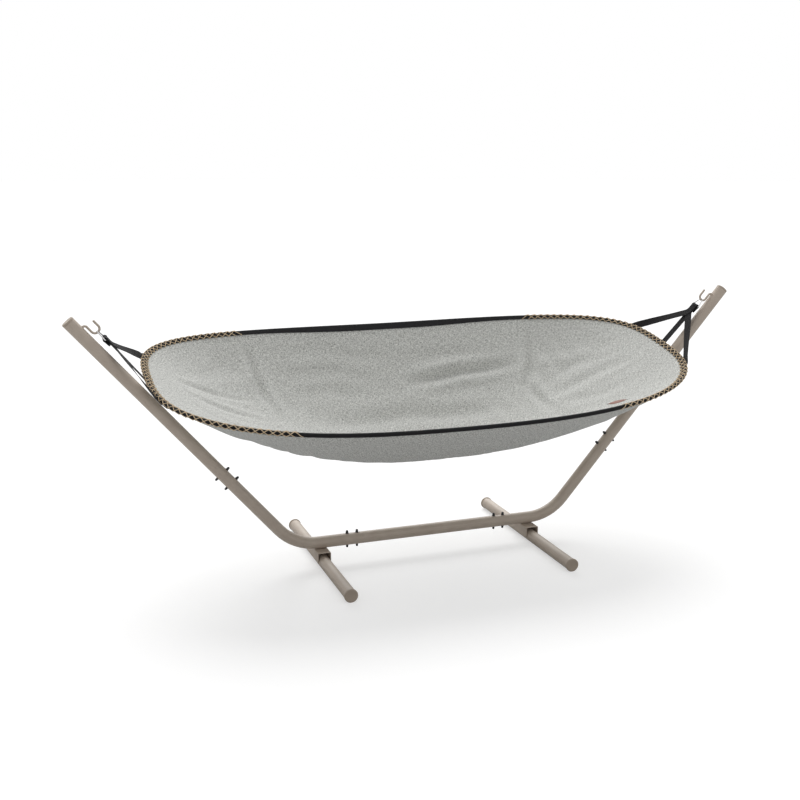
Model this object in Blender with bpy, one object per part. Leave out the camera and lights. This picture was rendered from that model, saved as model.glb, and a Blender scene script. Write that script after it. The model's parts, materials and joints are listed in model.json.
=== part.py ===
"""Garden hammock on a bolted steel tube stand.

The stand is five lengths of round tube: a centre tube, two bent lower tubes and two upper arms.
Swaged spigots slide into one another and each joint has two through bolts with domed cap nuts.
A saddle channel under each lower tube straddles a cross foot. The hammock hangs from a wire hook
near the top of each arm, by a wire ring and three webbing straps that fan out to a sprung rim rod.

X runs along the hammock, Y from its near side to its far side, Z up. The origin is on the floor,
under the middle of the whole object. Lengths are in metres.
"""
import math

import bmesh
import bpy
from mathutils import Matrix, Vector

# Clearance between faces that touch on the real object
FIT = 0.0003

# Stand tube
TUBE_RADIUS = 0.030
TUBE_WALL = 0.002
TUBE_SIDES = 24
SEAM_CHAMFER = 0.0006

# Stand outline, measured along the tube's centre line
SPINE_HEIGHT = 0.113
ARM_ANGLE = math.radians(49.3)
CORNER_X = 0.704
BEND_RADIUS = 0.260
BEND_STEPS = 8
ARM_LENGTH = 1.557
CENTRE_SEAM = 0.351
ARM_SEAM = 0.591
CENTRE_SPIGOT = 0.110
ARM_SPIGOT = 0.150
SHOULDER = 0.006

# Through bolts, as distances from the origin along the spine and from the corner along the arm
CENTRE_BOLTS = (0.379, 0.431)
ARM_BOLTS = (0.534, 0.467)
BOLT_RADIUS = 0.004
BOLT_SIDES = 12
BOLT_STICK_OUT = 0.009
HEAD_RADIUS = 0.0065
HEAD_SIDE = 0.008
HEAD_HEIGHT = 0.0145
CAP_FLANGE_RADIUS = 0.0085
CAP_FLANGE_HEIGHT = 0.0022
CAP_BODY_RADIUS = 0.0068
CAP_SIDE = 0.009
CAP_HEIGHT = 0.0165
CAP_BORE_DEPTH = 0.0105
DOME_STEPS = 3

# End plug in the top of each arm
PLUG_RIM = 0.010
PLUG_DEPTH = 0.025
PLUG_ROUND = 0.002

# Cross feet
FOOT_X = 0.571
FOOT_HALF_LENGTH = 0.525
FOOT_CAP_RADIUS = 0.033
FOOT_CAP_THICKNESS = 0.009
FOOT_FLAT_DEPTH = 0.0008
ACCESS_HOLE_RADIUS = 0.011

# Saddle channel between a lower tube and a foot
SADDLE_LENGTH = 0.150
SADDLE_WALL = 0.003
SADDLE_SIDE_GAP = 0.0006
SADDLE_BOTTOM = 0.030

# Foot bolt and the coupling nut that it screws into
FOOT_BOLT_RADIUS = 0.005
FOOT_BOLT_HEAD_RADIUS = 0.0085
FOOT_BOLT_HEAD_HEIGHT = 0.0064
FOOT_BOLT_TIP_GAP = 0.001
COUPLING_NUT_FLATS = 0.017

# Hook of bent wire, placed down the arm from its top end and out from its centre line
HOOK_WIRE = 0.0055
HOOK_ROOT_DROP = 0.066
HOOK_INNER_OUT = 0.0435
HOOK_BEND = 0.020
HOOK_BEND_DROP = 0.1085
HOOK_TIP_DROP = 0.0745

# Triangular ring of wire
RING_WIRE = 0.003
RING_NOSE_RADIUS = 0.0105
RING_HALF_ANGLE = math.radians(22.0)
RING_CORNER_RADIUS = 0.0045
RING_SIDE_GAP = 0.0020
WIRE_BEND_STEPS = 6

# Place of the stand across the object: the rolled hammock reaches further to the far side
STAND_Y = -0.062

# Hammock: outline of its rim, roll about the hooks and sag. Its length leaves room for the straps.
ROLL = math.radians(11.7)
RIM_TO_HOOK_LINE = 0.2066
RIM_HALF_WIDTH = 0.678
RIM_SQUARENESS = 2.98
RIM_DROP = 0.3046
RIM_RISE = 0.0469
RIM_END_RISE = 0.0245
RIM_STEPS = 48
RIM_FINE_STEPS = 4000
SAG = 0.410
SAG_POWER = 1.8
BED_THICKNESS = 0.0136
BED_EDGE_GAP = 0.0008
BED_RINGS = (0.80, 0.60, 0.40, 0.20)
EDGE_STRIP = 0.045

# Rim rod in two halves, with a sleeve over each meeting point
ROD_RADIUS = 0.005
ROD_SIDES = 8
ROD_END_GAP = 0.0005
SLEEVE_WALL = 0.0015
SLEEVE_HALF_LENGTH = 0.040

# Webbing binding folded over the rim
BINDING_THICKNESS = 0.0018
BINDING_LEG = 0.034
BINDING_SIDES = 8

# Straps from each ring to the rim. Side straps cross over one another as they fan out, so the gap
# between them grows with their width and with the rim's. The rim bends away under a strap's edges.
STRAP_WIDTH = 0.040
STRAP_THICKNESS = 0.002
STRAP_LAY_SHARE = 0.048
STRAP_SPREAD = 0.270
STRAP_BACK_LEG = 0.035
STRAP_TURN_START = 0.050
STRAP_TURN_RADIUS = 0.050
STRAP_TURN_STEPS = 4
STRAP_LOOP_STEPS = 8
STRAP_TWIST_STEPS = 12
STRAP_LAP = 0.050
STRAP_SEAT_BEND = 0.100

# Leather patch sewn inside the near right part of the bed
PATCH_LENGTH = 0.105
PATCH_WIDTH = 0.032
PATCH_THICKNESS = 0.002
PATCH_SEGMENT = 45
PATCH_TURN = math.radians(85)
PATCH_GAP = 0.0006
PATCH_STEPS = 6

# Shares: the next point inward from a rim point, the end part of the rim, where a strap twists, and
# where the patch's middle lies on its panel
NEARBY = 0.97
RIM_END_SHARE = 0.8
STRAP_TWIST_START = 0.25
STRAP_TWIST_END = 0.85
PATCH_ALONG = 0.65
PATCH_INWARD = 0.26

# Worked-out sizes
BORE_RADIUS = BOLT_RADIUS + FIT
TUBE_INNER = TUBE_RADIUS - TUBE_WALL
SPIGOT_RADIUS = TUBE_INNER - FIT
SPIGOT_BORE = SPIGOT_RADIUS - TUBE_WALL
FOOT_HEIGHT = FOOT_CAP_RADIUS - FOOT_FLAT_DEPTH
ALONG_ARM = Vector((math.cos(ARM_ANGLE), 0.0, math.sin(ARM_ANGLE)))
ACROSS_ARM = Vector((-math.sin(ARM_ANGLE), 0.0, math.cos(ARM_ANGLE)))
CORNER = Vector((CORNER_X, 0.0, SPINE_HEIGHT))
ARM_TOP = CORNER + ARM_LENGTH * ALONG_ARM
HOOK_CENTRE = ARM_TOP - HOOK_BEND_DROP * ALONG_ARM + (HOOK_INNER_OUT + HOOK_BEND) * ACROSS_ARM
SWING = HOOK_CENTRE - HOOK_BEND * ALONG_ARM
RIM_HALF_LENGTH = SWING.x - RIM_TO_HOOK_LINE
SLEEVE_RADIUS = ROD_RADIUS + FIT + SLEEVE_WALL
BINDING_INNER = SLEEVE_RADIUS + FIT
BINDING_OUTER = BINDING_INNER + BINDING_THICKNESS
BED_EDGE_HALF = BINDING_INNER - BED_EDGE_GAP
DOWN = Vector((0, -math.sin(ROLL), -math.cos(ROLL)))
STRAP_SEAT_GAP = 2 * FIT + (STRAP_WIDTH / 2) ** 2 / (2 * STRAP_SEAT_BEND)
STRAP_LAY_GAP = STRAP_LAY_SHARE * STRAP_WIDTH * RIM_HALF_WIDTH
RING_NOSE = -(HOOK_WIRE + FIT + RING_WIRE)
RING_PEAK = RING_NOSE + RING_NOSE_RADIUS - RING_NOSE_RADIUS / math.sin(RING_HALF_ANGLE)
RING_BAR_HALF = (STRAP_WIDTH / 2 + RING_SIDE_GAP
                 + RING_CORNER_RADIUS / math.tan((math.pi / 2 - RING_HALF_ANGLE) / 2))
RING_BAR_DROP = RING_PEAK + RING_BAR_HALF / math.tan(RING_HALF_ANGLE)


def make_material(name, colour, roughness, metallic):
    material = bpy.data.materials.new(name)
    material.use_nodes = True
    shader = material.node_tree.nodes["Principled BSDF"]
    shader.inputs["Base Color"].default_value = (*colour, 1.0)
    shader.inputs["Roughness"].default_value = roughness
    shader.inputs["Metallic"].default_value = metallic
    return material


def place(name, data, material, matrix=None, parent=None):
    """Add an object with its material; the matrix is its place under its parent."""
    data.materials.append(material)
    item = bpy.data.objects.new(name, data)
    bpy.context.scene.collection.objects.link(item)
    item.parent = parent
    if matrix is not None:
        item.matrix_basis = matrix
    return item


def empty(name, location):
    item = bpy.data.objects.new(name, None)
    bpy.context.scene.collection.objects.link(item)
    item.location = location
    return item


def mesh_from(bm, smooth_angle=40.0):
    """Turn a finished bmesh into a mesh with outward faces and smooth round sides."""
    bmesh.ops.remove_doubles(bm, verts=bm.verts, dist=1e-6)
    bmesh.ops.recalc_face_normals(bm, faces=bm.faces)
    mesh = bpy.data.meshes.new("shape")
    bm.to_mesh(mesh)
    bm.free()
    mesh.shade_smooth()
    mesh.set_sharp_from_angle(angle=math.radians(smooth_angle))
    return mesh


def turned(profile, sides=TUBE_SIDES):
    """Turn a profile of (radius, height) points round the Z axis; it starts and ends on the axis."""
    bm = bmesh.new()
    verts = [bm.verts.new((radius, 0.0, height)) for radius, height in profile]
    edges = [bm.edges.new(pair) for pair in zip(verts, verts[1:])]
    bmesh.ops.spin(bm, geom=verts + edges, cent=(0, 0, 0), axis=(0, 0, 1),
                   angle=math.tau, steps=sides, use_merge=True)
    return bm


def loft(loops, closed=False):
    """Skin a row of point loops, either closed on itself or with a flat cap at each end."""
    bm = bmesh.new()
    rows = [[bm.verts.new(point) for point in loop] for loop in loops]
    pairs = list(zip(rows, rows[1:]))
    if closed:
        pairs.append((rows[-1], rows[0]))
    else:
        bm.faces.new(rows[0])
        bm.faces.new(rows[-1])
    for row, following in pairs:
        for i in range(len(row)):
            j = (i + 1) % len(row)
            bm.faces.new((row[i], row[j], following[j], following[i]))
    return bm


def circle(matrix, radius, sides=TUBE_SIDES):
    """Points of a circle in the local XY plane of the matrix."""
    turns = [math.tau * k / sides for k in range(sides)]
    return [matrix @ Vector((radius * math.cos(a), radius * math.sin(a), 0.0)) for a in turns]


def frame_at(point, along, side):
    """Matrix with Z along the given direction and X nearest to the given side."""
    z = along.normalized()
    y = z.cross(side).normalized()
    x = y.cross(z)
    return Matrix.Translation(point) @ Matrix((x, y, z)).transposed().to_4x4()


def bolt_frame(centre, direction):
    """Frame of a bolt, turned so that none of its edges lies over an edge of the tube."""
    half_side = Matrix.Rotation(math.pi / BOLT_SIDES, 4, "Z")
    return frame_at(centre, direction, Vector((0, 1, 0))) @ half_side


def fillet(before, corner, after, radius, steps):
    """Points of the arc that rounds one corner of a route."""
    back = (before - corner).normalized()
    ahead = (after - corner).normalized()
    half = back.angle(ahead) / 2
    inward = (back + ahead).normalized()
    centre = corner + inward * radius / math.sin(half)
    start = corner + back * radius / math.tan(half) - centre
    axis = back.cross(ahead)
    turn = math.pi - 2 * half
    return [centre + Matrix.Rotation(-turn * k / steps, 3, axis) @ start for k in range(steps + 1)]


def rounded_route(points, radii, steps):
    """A route through the points with an arc of the given radius at each inner one."""
    route = [points[0]]
    for i, radius in enumerate(radii, start=1):
        route += fillet(points[i - 1], points[i], points[i + 1], radius, steps)
    return route + [points[-1]]


def wire(name, points, radius, material, cyclic=False, resolution=3, matrix=None, parent=None):
    """A round wire along a route, with flat ends."""
    curve = bpy.data.curves.new(name, "CURVE")
    curve.dimensions = "3D"
    curve.bevel_depth = radius
    curve.bevel_resolution = resolution
    curve.use_fill_caps = True
    spline = curve.splines.new("POLY")
    spline.points.add(len(points) - 1)
    for slot, point in zip(spline.points, points):
        slot.co = (*point, 1.0)
        slot.radius = 1.0
    spline.use_cyclic_u = cyclic
    spline.use_smooth = True
    return place(name, curve, material, matrix, parent)


def stations(start, direction, profile):
    """Circles round a straight line, as (matrix, radius), from pairs of distance and radius."""
    side = Vector((0, 1, 0))
    return [(frame_at(start + direction * d, direction, side), radius) for d, radius in profile]


def tube(outside, inside):
    """A tube wall between an outer and an inner row of circles, open at both ends."""
    return loft([circle(matrix, radius) for matrix, radius in outside + inside[::-1]], closed=True)


def dome(radius, foot, top):
    """Profile of a round end: a quarter ellipse from its widest point to its tip on the axis."""
    turns = [math.pi / 2 * k / DOME_STEPS for k in range(DOME_STEPS + 1)]
    return [(radius * math.cos(a), foot + (top - foot) * math.sin(a)) for a in turns]


def drill(item, name, centre, direction, radius, length, sides=BOLT_SIDES):
    """Cut a round hole through a piece; the cutter is centred on the given point."""
    cutter = bpy.data.objects.get(name)
    if cutter is None:
        bm = bmesh.new()
        bmesh.ops.create_cone(bm, cap_ends=True, segments=sides, radius1=radius, radius2=radius,
                              depth=length)
        cutter = bpy.data.objects.new(name, mesh_from(bm))
        bpy.context.scene.collection.objects.link(cutter)
        cutter.matrix_basis = bolt_frame(centre, direction)
        cutter.hide_render = True
        cutter.display_type = "WIRE"
    cut = item.modifiers.new(name, "BOOLEAN")
    cut.operation = "DIFFERENCE"
    cut.object = cutter


def sides_of_stand():
    """Name and half turn about Z for the right and the left half of the stand."""
    return (("right", Matrix()), ("left", Matrix.Rotation(math.pi, 4, "Z")))


def joint_bolts():
    """Each through bolt of the right half: its name, its point on the tube's axis and its direction."""
    up = Vector((0, 0, 1))
    spine = [(f"centre_{n}", Vector((x, 0, SPINE_HEIGHT)), up) for n, x in enumerate(CENTRE_BOLTS, 1)]
    arm = [(f"arm_{n}", CORNER + d * ALONG_ARM, ACROSS_ARM) for n, d in enumerate(ARM_BOLTS, 1)]
    return spine + arm


def drill_for_bolts(item, half, turn, prefix):
    for label, centre, direction in joint_bolts():
        if label.startswith(prefix):
            drill(item, f"hole_{label}_{half}", turn @ centre, turn.to_3x3() @ direction,
                  BORE_RADIUS, 3 * TUBE_RADIUS)


def build_centre_tube(paint):
    """The middle tube, swaged to a spigot at each end."""
    reach = CENTRE_SEAM - FIT / 2
    tip = reach + CENTRE_SPIGOT
    outer_half = [(tip, SPIGOT_RADIUS), (reach, SPIGOT_RADIUS), (reach, TUBE_RADIUS - SEAM_CHAMFER),
                  (reach - SEAM_CHAMFER, TUBE_RADIUS)]
    inner_half = [(tip, SPIGOT_BORE), (reach, SPIGOT_BORE), (reach - SHOULDER, TUBE_INNER)]

    def both_ways(half):
        middle = Vector((0, 0, SPINE_HEIGHT))
        return stations(middle, Vector((1, 0, 0)), [(-d, radius) for d, radius in half] + half[::-1])

    item = place("centre_tube", mesh_from(tube(both_ways(outer_half), both_ways(inner_half))), paint)
    for half, turn in sides_of_stand():
        drill_for_bolts(item, half, turn, "centre")


def build_lower_tubes(paint):
    """The bent tubes that turn the spine up into the arms."""
    x_axis = Vector((1, 0, 0))
    start = Vector((CENTRE_SEAM + FIT / 2, 0, SPINE_HEIGHT))
    tangent = BEND_RADIUS * math.tan(ARM_ANGLE / 2)
    spine_run = CORNER_X - tangent - start.x
    arm_run = ARM_SEAM - FIT / 2 - tangent
    arc = fillet(start, CORNER, CORNER + ALONG_ARM, BEND_RADIUS, BEND_STEPS)

    def row(radius, mouth):
        first = [(0, mouth), (SEAM_CHAMFER, radius), (spine_run, radius)]
        last = [(0, radius), (arm_run - SEAM_CHAMFER, radius), (arm_run, mouth)]
        bend = []
        for k in range(1, BEND_STEPS):
            lean = Matrix.Rotation(-ARM_ANGLE * k / BEND_STEPS, 3, "Y") @ x_axis
            bend += stations(arc[k], lean, [(0, radius)])
        return stations(start, x_axis, first) + bend + stations(arc[-1], ALONG_ARM, last)

    outside = row(TUBE_RADIUS, TUBE_RADIUS - SEAM_CHAMFER)
    inside = row(TUBE_INNER, TUBE_INNER)
    for half, turn in sides_of_stand():
        item = place(f"lower_tube_{half}", mesh_from(tube(outside, inside)), paint, turn)
        drill_for_bolts(item, half, turn, "centre")
        drill_for_bolts(item, half, turn, "arm")


def build_arms(paint):
    """The upper arms, each swaged to a spigot at its foot."""
    start = CORNER + ALONG_ARM * (ARM_SEAM + FIT / 2)
    length = ARM_LENGTH - PLUG_RIM - FIT - ARM_SEAM - FIT / 2
    outside = stations(start, ALONG_ARM, [
        (-ARM_SPIGOT, SPIGOT_RADIUS), (0, SPIGOT_RADIUS), (0, TUBE_RADIUS - SEAM_CHAMFER),
        (SEAM_CHAMFER, TUBE_RADIUS), (length, TUBE_RADIUS)])
    inside = stations(start, ALONG_ARM, [
        (-ARM_SPIGOT, SPIGOT_BORE), (0, SPIGOT_BORE), (SHOULDER, TUBE_INNER), (length, TUBE_INNER)])
    for half, turn in sides_of_stand():
        item = place(f"upper_arm_{half}", mesh_from(tube(outside, inside)), paint, turn)
        drill_for_bolts(item, half, turn, "arm")


def build_arm_plugs(plastic):
    """The push-in end of each arm, with a rim as wide as the tube."""
    profile = [(0.0, -PLUG_DEPTH), (SPIGOT_RADIUS - PLUG_ROUND, -PLUG_DEPTH),
               (SPIGOT_RADIUS, PLUG_ROUND - PLUG_DEPTH), (SPIGOT_RADIUS, 0.0), (TUBE_RADIUS, 0.0),
               (TUBE_RADIUS, PLUG_RIM - PLUG_ROUND), (TUBE_RADIUS - PLUG_ROUND, PLUG_RIM),
               (0.0, PLUG_RIM)]
    seat = frame_at(ARM_TOP - PLUG_RIM * ALONG_ARM, ALONG_ARM, Vector((0, 1, 0)))
    for half, turn in sides_of_stand():
        place(f"arm_plug_{half}", mesh_from(turned(profile)), plastic, turn @ seat)


def build_joint_hardware(black):
    """The through bolts, domed below, and the cap nuts on their upper ends."""
    tip = TUBE_RADIUS + BOLT_STICK_OUT
    seat = TUBE_RADIUS + FIT
    head = dome(HEAD_RADIUS, -seat - HEAD_SIDE, -seat - HEAD_HEIGHT)[::-1]
    bolt = head + [(HEAD_RADIUS, -seat), (BOLT_RADIUS, -seat), (BOLT_RADIUS, tip), (0.0, tip)]
    bore = [(0.0, seat + CAP_BORE_DEPTH), (BORE_RADIUS, seat + CAP_BORE_DEPTH), (BORE_RADIUS, seat)]
    flange = [(CAP_FLANGE_RADIUS, seat), (CAP_FLANGE_RADIUS, seat + CAP_FLANGE_HEIGHT),
              (CAP_BODY_RADIUS, seat + CAP_FLANGE_HEIGHT)]
    cap = bore + flange + dome(CAP_BODY_RADIUS, seat + CAP_SIDE, seat + CAP_HEIGHT)
    for half, turn in sides_of_stand():
        for label, centre, direction in joint_bolts():
            matrix = turn @ bolt_frame(centre, direction)
            place(f"bolt_{label}_{half}", mesh_from(turned(bolt, BOLT_SIDES)), black, matrix)
            place(f"cap_nut_{label}_{half}", mesh_from(turned(cap, BOLT_SIDES)), black, matrix)


def foot_cap(way):
    """A foot's flanged end cap that faces along Y, cut flat where it stands."""
    bm = turned([(0.0, -PLUG_DEPTH), (SPIGOT_RADIUS, -PLUG_DEPTH), (SPIGOT_RADIUS, 0.0),
                 (FOOT_CAP_RADIUS, 0.0), (FOOT_CAP_RADIUS, FOOT_CAP_THICKNESS - PLUG_ROUND),
                 (FOOT_CAP_RADIUS - PLUG_ROUND, FOOT_CAP_THICKNESS), (0.0, FOOT_CAP_THICKNESS)])
    facing = frame_at(Vector(), Vector((0, way, 0)), Vector((1, 0, 0)))
    bmesh.ops.transform(bm, matrix=facing, verts=bm.verts)
    cut = bmesh.ops.bisect_plane(bm, geom=[*bm.verts, *bm.edges, *bm.faces], clear_outer=True,
                                 plane_co=(0, 0, -FOOT_HEIGHT), plane_no=(0, 0, -1))
    bmesh.ops.holes_fill(bm, edges=[e for e in cut["geom_cut"] if isinstance(e, bmesh.types.BMEdge)])
    return mesh_from(bm)


def build_feet(paint, plastic):
    """The cross feet, each a tube with two holes for its bolt and a cap at each end."""
    y_axis = Vector((0, 1, 0))
    up = Vector((0, 0, 1))
    reach = FOOT_HALF_LENGTH - FOOT_CAP_THICKNESS - FIT
    axis_point = Vector((FOOT_X, 0, FOOT_HEIGHT))
    outside, inside = [[(frame_at(axis_point + y_axis * y, y_axis, up), radius) for y in (-reach, reach)]
                       for radius in (TUBE_RADIUS, TUBE_INNER)]
    for half, turn in sides_of_stand():
        item = place(f"foot_tube_{half}", mesh_from(tube(outside, inside)), paint, turn)
        middle = turn @ axis_point
        drill(item, f"hole_foot_bolt_{half}", middle + up * TUBE_RADIUS, up,
              FOOT_BOLT_RADIUS + FIT, TUBE_RADIUS)
        drill(item, f"hole_foot_access_{half}", middle - up * TUBE_RADIUS, up,
              ACCESS_HOLE_RADIUS, TUBE_RADIUS, TUBE_SIDES)
        for side, way in (("far", 1), ("near", -1)):
            seat = Vector((middle.x, way * (reach + FIT), FOOT_HEIGHT))
            place(f"foot_cap_{side}_{half}", foot_cap(way), plastic, Matrix.Translation(seat))


def build_saddles(paint):
    """The inverted channels that join the lower tubes to the feet."""
    inner = TUBE_RADIUS + SADDLE_SIDE_GAP
    outer = inner + SADDLE_WALL
    top = SPINE_HEIGHT - TUBE_RADIUS - FIT
    outline = [(-outer, SADDLE_BOTTOM), (-outer, top), (outer, top), (outer, SADDLE_BOTTOM),
               (inner, SADDLE_BOTTOM), (inner, top - SADDLE_WALL), (-inner, top - SADDLE_WALL),
               (-inner, SADDLE_BOTTOM)]
    ends = [[Vector((FOOT_X + x, y, z)) for x, z in outline]
            for y in (-SADDLE_LENGTH / 2, SADDLE_LENGTH / 2)]
    for half, turn in sides_of_stand():
        place(f"saddle_{half}", mesh_from(loft(ends)), paint, turn)


def build_foot_hardware(zinc):
    """The bolt inside each foot and the coupling nut that it screws into, under the saddle's web."""
    head_top = math.sqrt(TUBE_INNER ** 2 - FOOT_BOLT_HEAD_RADIUS ** 2) + FOOT_HEIGHT - FIT
    nut_bottom = FOOT_HEIGHT + TUBE_RADIUS + FIT
    nut_top = SPINE_HEIGHT - TUBE_RADIUS - SADDLE_WALL - 2 * FIT
    tip = nut_top - FOOT_BOLT_TIP_GAP
    head_bottom = head_top - FOOT_BOLT_HEAD_HEIGHT
    bolt = [(0.0, head_bottom), (FOOT_BOLT_HEAD_RADIUS, head_bottom), (FOOT_BOLT_HEAD_RADIUS, head_top),
            (FOOT_BOLT_RADIUS, head_top), (FOOT_BOLT_RADIUS, tip), (0.0, tip)]
    corner = COUPLING_NUT_FLATS / math.sqrt(3)

    def hexagon(z):
        points = circle(Matrix.Translation((0, 0, z)), COUPLING_NUT_FLATS / 2, BOLT_SIDES)
        for point in points[::2]:
            point.xy *= corner / point.xy.length
        return points

    def bore(z):
        return circle(Matrix.Translation((0, 0, z)), FOOT_BOLT_RADIUS + FIT, BOLT_SIDES)

    for half, turn in sides_of_stand():
        matrix = turn @ bolt_frame(Vector((FOOT_X, 0, 0)), Vector((0, 0, 1)))
        place(f"foot_bolt_{half}", mesh_from(turned(bolt, BOLT_SIDES)), zinc, matrix)
        loops = [hexagon(nut_bottom), hexagon(nut_top), bore(nut_top), bore(nut_bottom)]
        place(f"coupling_nut_{half}", mesh_from(loft(loops, closed=True)), zinc, matrix)


def build_hooks(paint):
    """The hooks: wire that leaves the arm, runs down beside it and turns back up in a U."""
    def point(drop, out):
        return ARM_TOP - drop * ALONG_ARM + out * ACROSS_ARM

    outer_out = HOOK_INNER_OUT + 2 * HOOK_BEND
    seat = TUBE_RADIUS + FIT
    first_bend = HOOK_INNER_OUT - seat - FIT
    corners = [point(HOOK_ROOT_DROP, seat), point(HOOK_ROOT_DROP, HOOK_INNER_OUT),
               point(HOOK_BEND_DROP + HOOK_BEND, HOOK_INNER_OUT),
               point(HOOK_BEND_DROP + HOOK_BEND, outer_out), point(HOOK_TIP_DROP, outer_out)]
    route = rounded_route(corners, (first_bend, HOOK_BEND - FIT, HOOK_BEND - FIT), WIRE_BEND_STEPS)
    for half, turn in sides_of_stand():
        wire(f"hook_{half}", route, HOOK_WIRE, paint, matrix=turn)


def hammock_ends():
    """Name and sign along X of each end of the hammock."""
    return (("right", 1.0), ("left", -1.0))


def ring_route(sign):
    """The ring's centre line in the hammock's frame, from its nose inside the hook to its bar."""
    def point(y, drop):
        return Vector((sign * (SWING.x - drop * ALONG_ARM.x), y, -drop * ALONG_ARM.z))

    corners = [point(0, RING_PEAK), point(RING_BAR_HALF, RING_BAR_DROP),
               point(-RING_BAR_HALF, RING_BAR_DROP)]
    radii = (RING_NOSE_RADIUS, RING_CORNER_RADIUS, RING_CORNER_RADIUS)
    route = []
    for i, radius in enumerate(radii):
        following = corners[(i + 1) % len(corners)]
        route += fillet(corners[i - 1], corners[i], following, radius, WIRE_BEND_STEPS)
    return route


def build_rings(steel, frame):
    for end, sign in hammock_ends():
        wire(f"ring_{end}", ring_route(sign), RING_WIRE, steel, cyclic=True, resolution=2, parent=frame)


def rim_outline():
    """Even steps along the rim's outline in plan, a superellipse, from the right end by the far side."""
    dense = []
    for k in range(RIM_FINE_STEPS + 1):
        angle = math.tau * k / RIM_FINE_STEPS
        c, s = math.cos(angle), math.sin(angle)
        power = 2 / RIM_SQUARENESS
        dense.append(Vector((math.copysign(abs(c) ** power, c) * RIM_HALF_LENGTH,
                             math.copysign(abs(s) ** power, s) * RIM_HALF_WIDTH)))
    lengths = [0.0]
    for a, b in zip(dense, dense[1:]):
        lengths.append(lengths[-1] + (b - a).length)
    outline = []
    at = 0
    for k in range(RIM_STEPS):
        wanted = lengths[-1] * k / RIM_STEPS
        while lengths[at + 1] < wanted:
            at += 1
        share = (wanted - lengths[at]) / (lengths[at + 1] - lengths[at])
        outline.append(dense[at].lerp(dense[at + 1], share))
    return outline


def bed_point(plan, share):
    """Middle of the bed's thickness, at a share of the way from its centre to a rim point."""
    ratio = abs(share * plan.x / RIM_HALF_LENGTH)
    height = -RIM_DROP + RIM_RISE * ratio ** 2 + RIM_END_RISE * ratio ** 4
    return Vector((share * plan.x, share * plan.y, height)) + DOWN * SAG * (1 - share ** SAG_POWER)


class RimFrame:
    """One step of the rim: its point, its direction, the way into the bed and the bed's upward normal."""

    def __init__(self, outline, step):
        count = len(outline)
        here = outline[step % count]
        self.point = bed_point(here, 1.0)
        ahead = bed_point(outline[(step + 1) % count], 1.0)
        behind = bed_point(outline[(step - 1) % count], 1.0)
        self.along = (ahead - behind).normalized()
        slope = bed_point(here, NEARBY) - self.point
        self.inward = (slope - slope.dot(self.along) * self.along).normalized()
        self.up = self.inward.cross(self.along).normalized()
        if self.up.z < 0:
            self.up = -self.up

    def offset(self, inward, up):
        return self.point + inward * self.inward + up * self.up


def bed_surface(outline, step, share, height):
    """A point at a height above or below the middle of the bed's thickness."""
    here = bed_point(outline[step], share)
    ahead = bed_point(outline[(step + 1) % RIM_STEPS], share)
    centreward = bed_point(outline[step], share * NEARBY)
    normal = (centreward - here).cross(ahead - here).normalized()
    return here + normal * math.copysign(height, height * normal.z)


def build_bed(cloth, frame, outline):
    """The padded bed: an upper and a lower skin that meet inside the binding and sag inside the rim."""
    rims = [RimFrame(outline, k) for k in range(RIM_STEPS)]

    def skin(side):
        edge = [[rim.offset(inward, side * BED_EDGE_HALF) for rim in rims]
                for inward in (BINDING_INNER, EDGE_STRIP)]
        return edge + [[bed_surface(outline, k, share, side * BED_THICKNESS / 2) for k in range(RIM_STEPS)]
                       for share in BED_RINGS]

    bm = loft(skin(-1)[::-1] + skin(1))
    ends = [face for face in bm.faces if len(face.verts) == RIM_STEPS]
    middles = bmesh.ops.poke(bm, faces=ends)["verts"]
    bmesh.ops.translate(bm, verts=middles, vec=DOWN * SAG * BED_RINGS[-1] ** SAG_POWER)
    place("bed", mesh_from(bm, 60.0), cloth, parent=frame)


def binding_section():
    """Cross-section of the binding as pairs of inward and upward distance: two legs and a round fold."""
    half_side = math.pi / BINDING_SIDES

    def fold(radius):
        turns = [math.pi / 2 + half_side * (2 * k + 1) for k in range(BINDING_SIDES // 2)]
        corner = radius / math.cos(half_side)
        return [(corner * math.cos(a), corner * math.sin(a)) for a in turns]

    outer = [(BINDING_LEG, BINDING_OUTER), *fold(BINDING_OUTER), (BINDING_LEG, -BINDING_OUTER)]
    inner = [(BINDING_LEG, BINDING_INNER), *fold(BINDING_INNER), (BINDING_LEG, -BINDING_INNER)]
    return outer + inner[::-1]


def build_binding(webbing, frame, outline):
    """The webbing folded over the rim rod and the bed's edge."""
    loops = []
    for step in range(RIM_STEPS):
        rim = RimFrame(outline, step)
        loops.append([rim.offset(inward, up) for inward, up in binding_section()])
    place("rim_binding", mesh_from(loft(loops, closed=True)), webbing, parent=frame)


def along_rim(outline, start, end):
    """Rim points between two places given in steps, which may be fractions of a step."""
    def at(step):
        low = math.floor(step)
        first = bed_point(outline[low % RIM_STEPS], 1.0)
        second = bed_point(outline[(low + 1) % RIM_STEPS], 1.0)
        return first.lerp(second, step - low)

    whole = range(math.ceil(start + 1e-9), math.floor(end - 1e-9) + 1)
    return [at(start)] + [at(step) for step in whole] + [at(end)]


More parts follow.
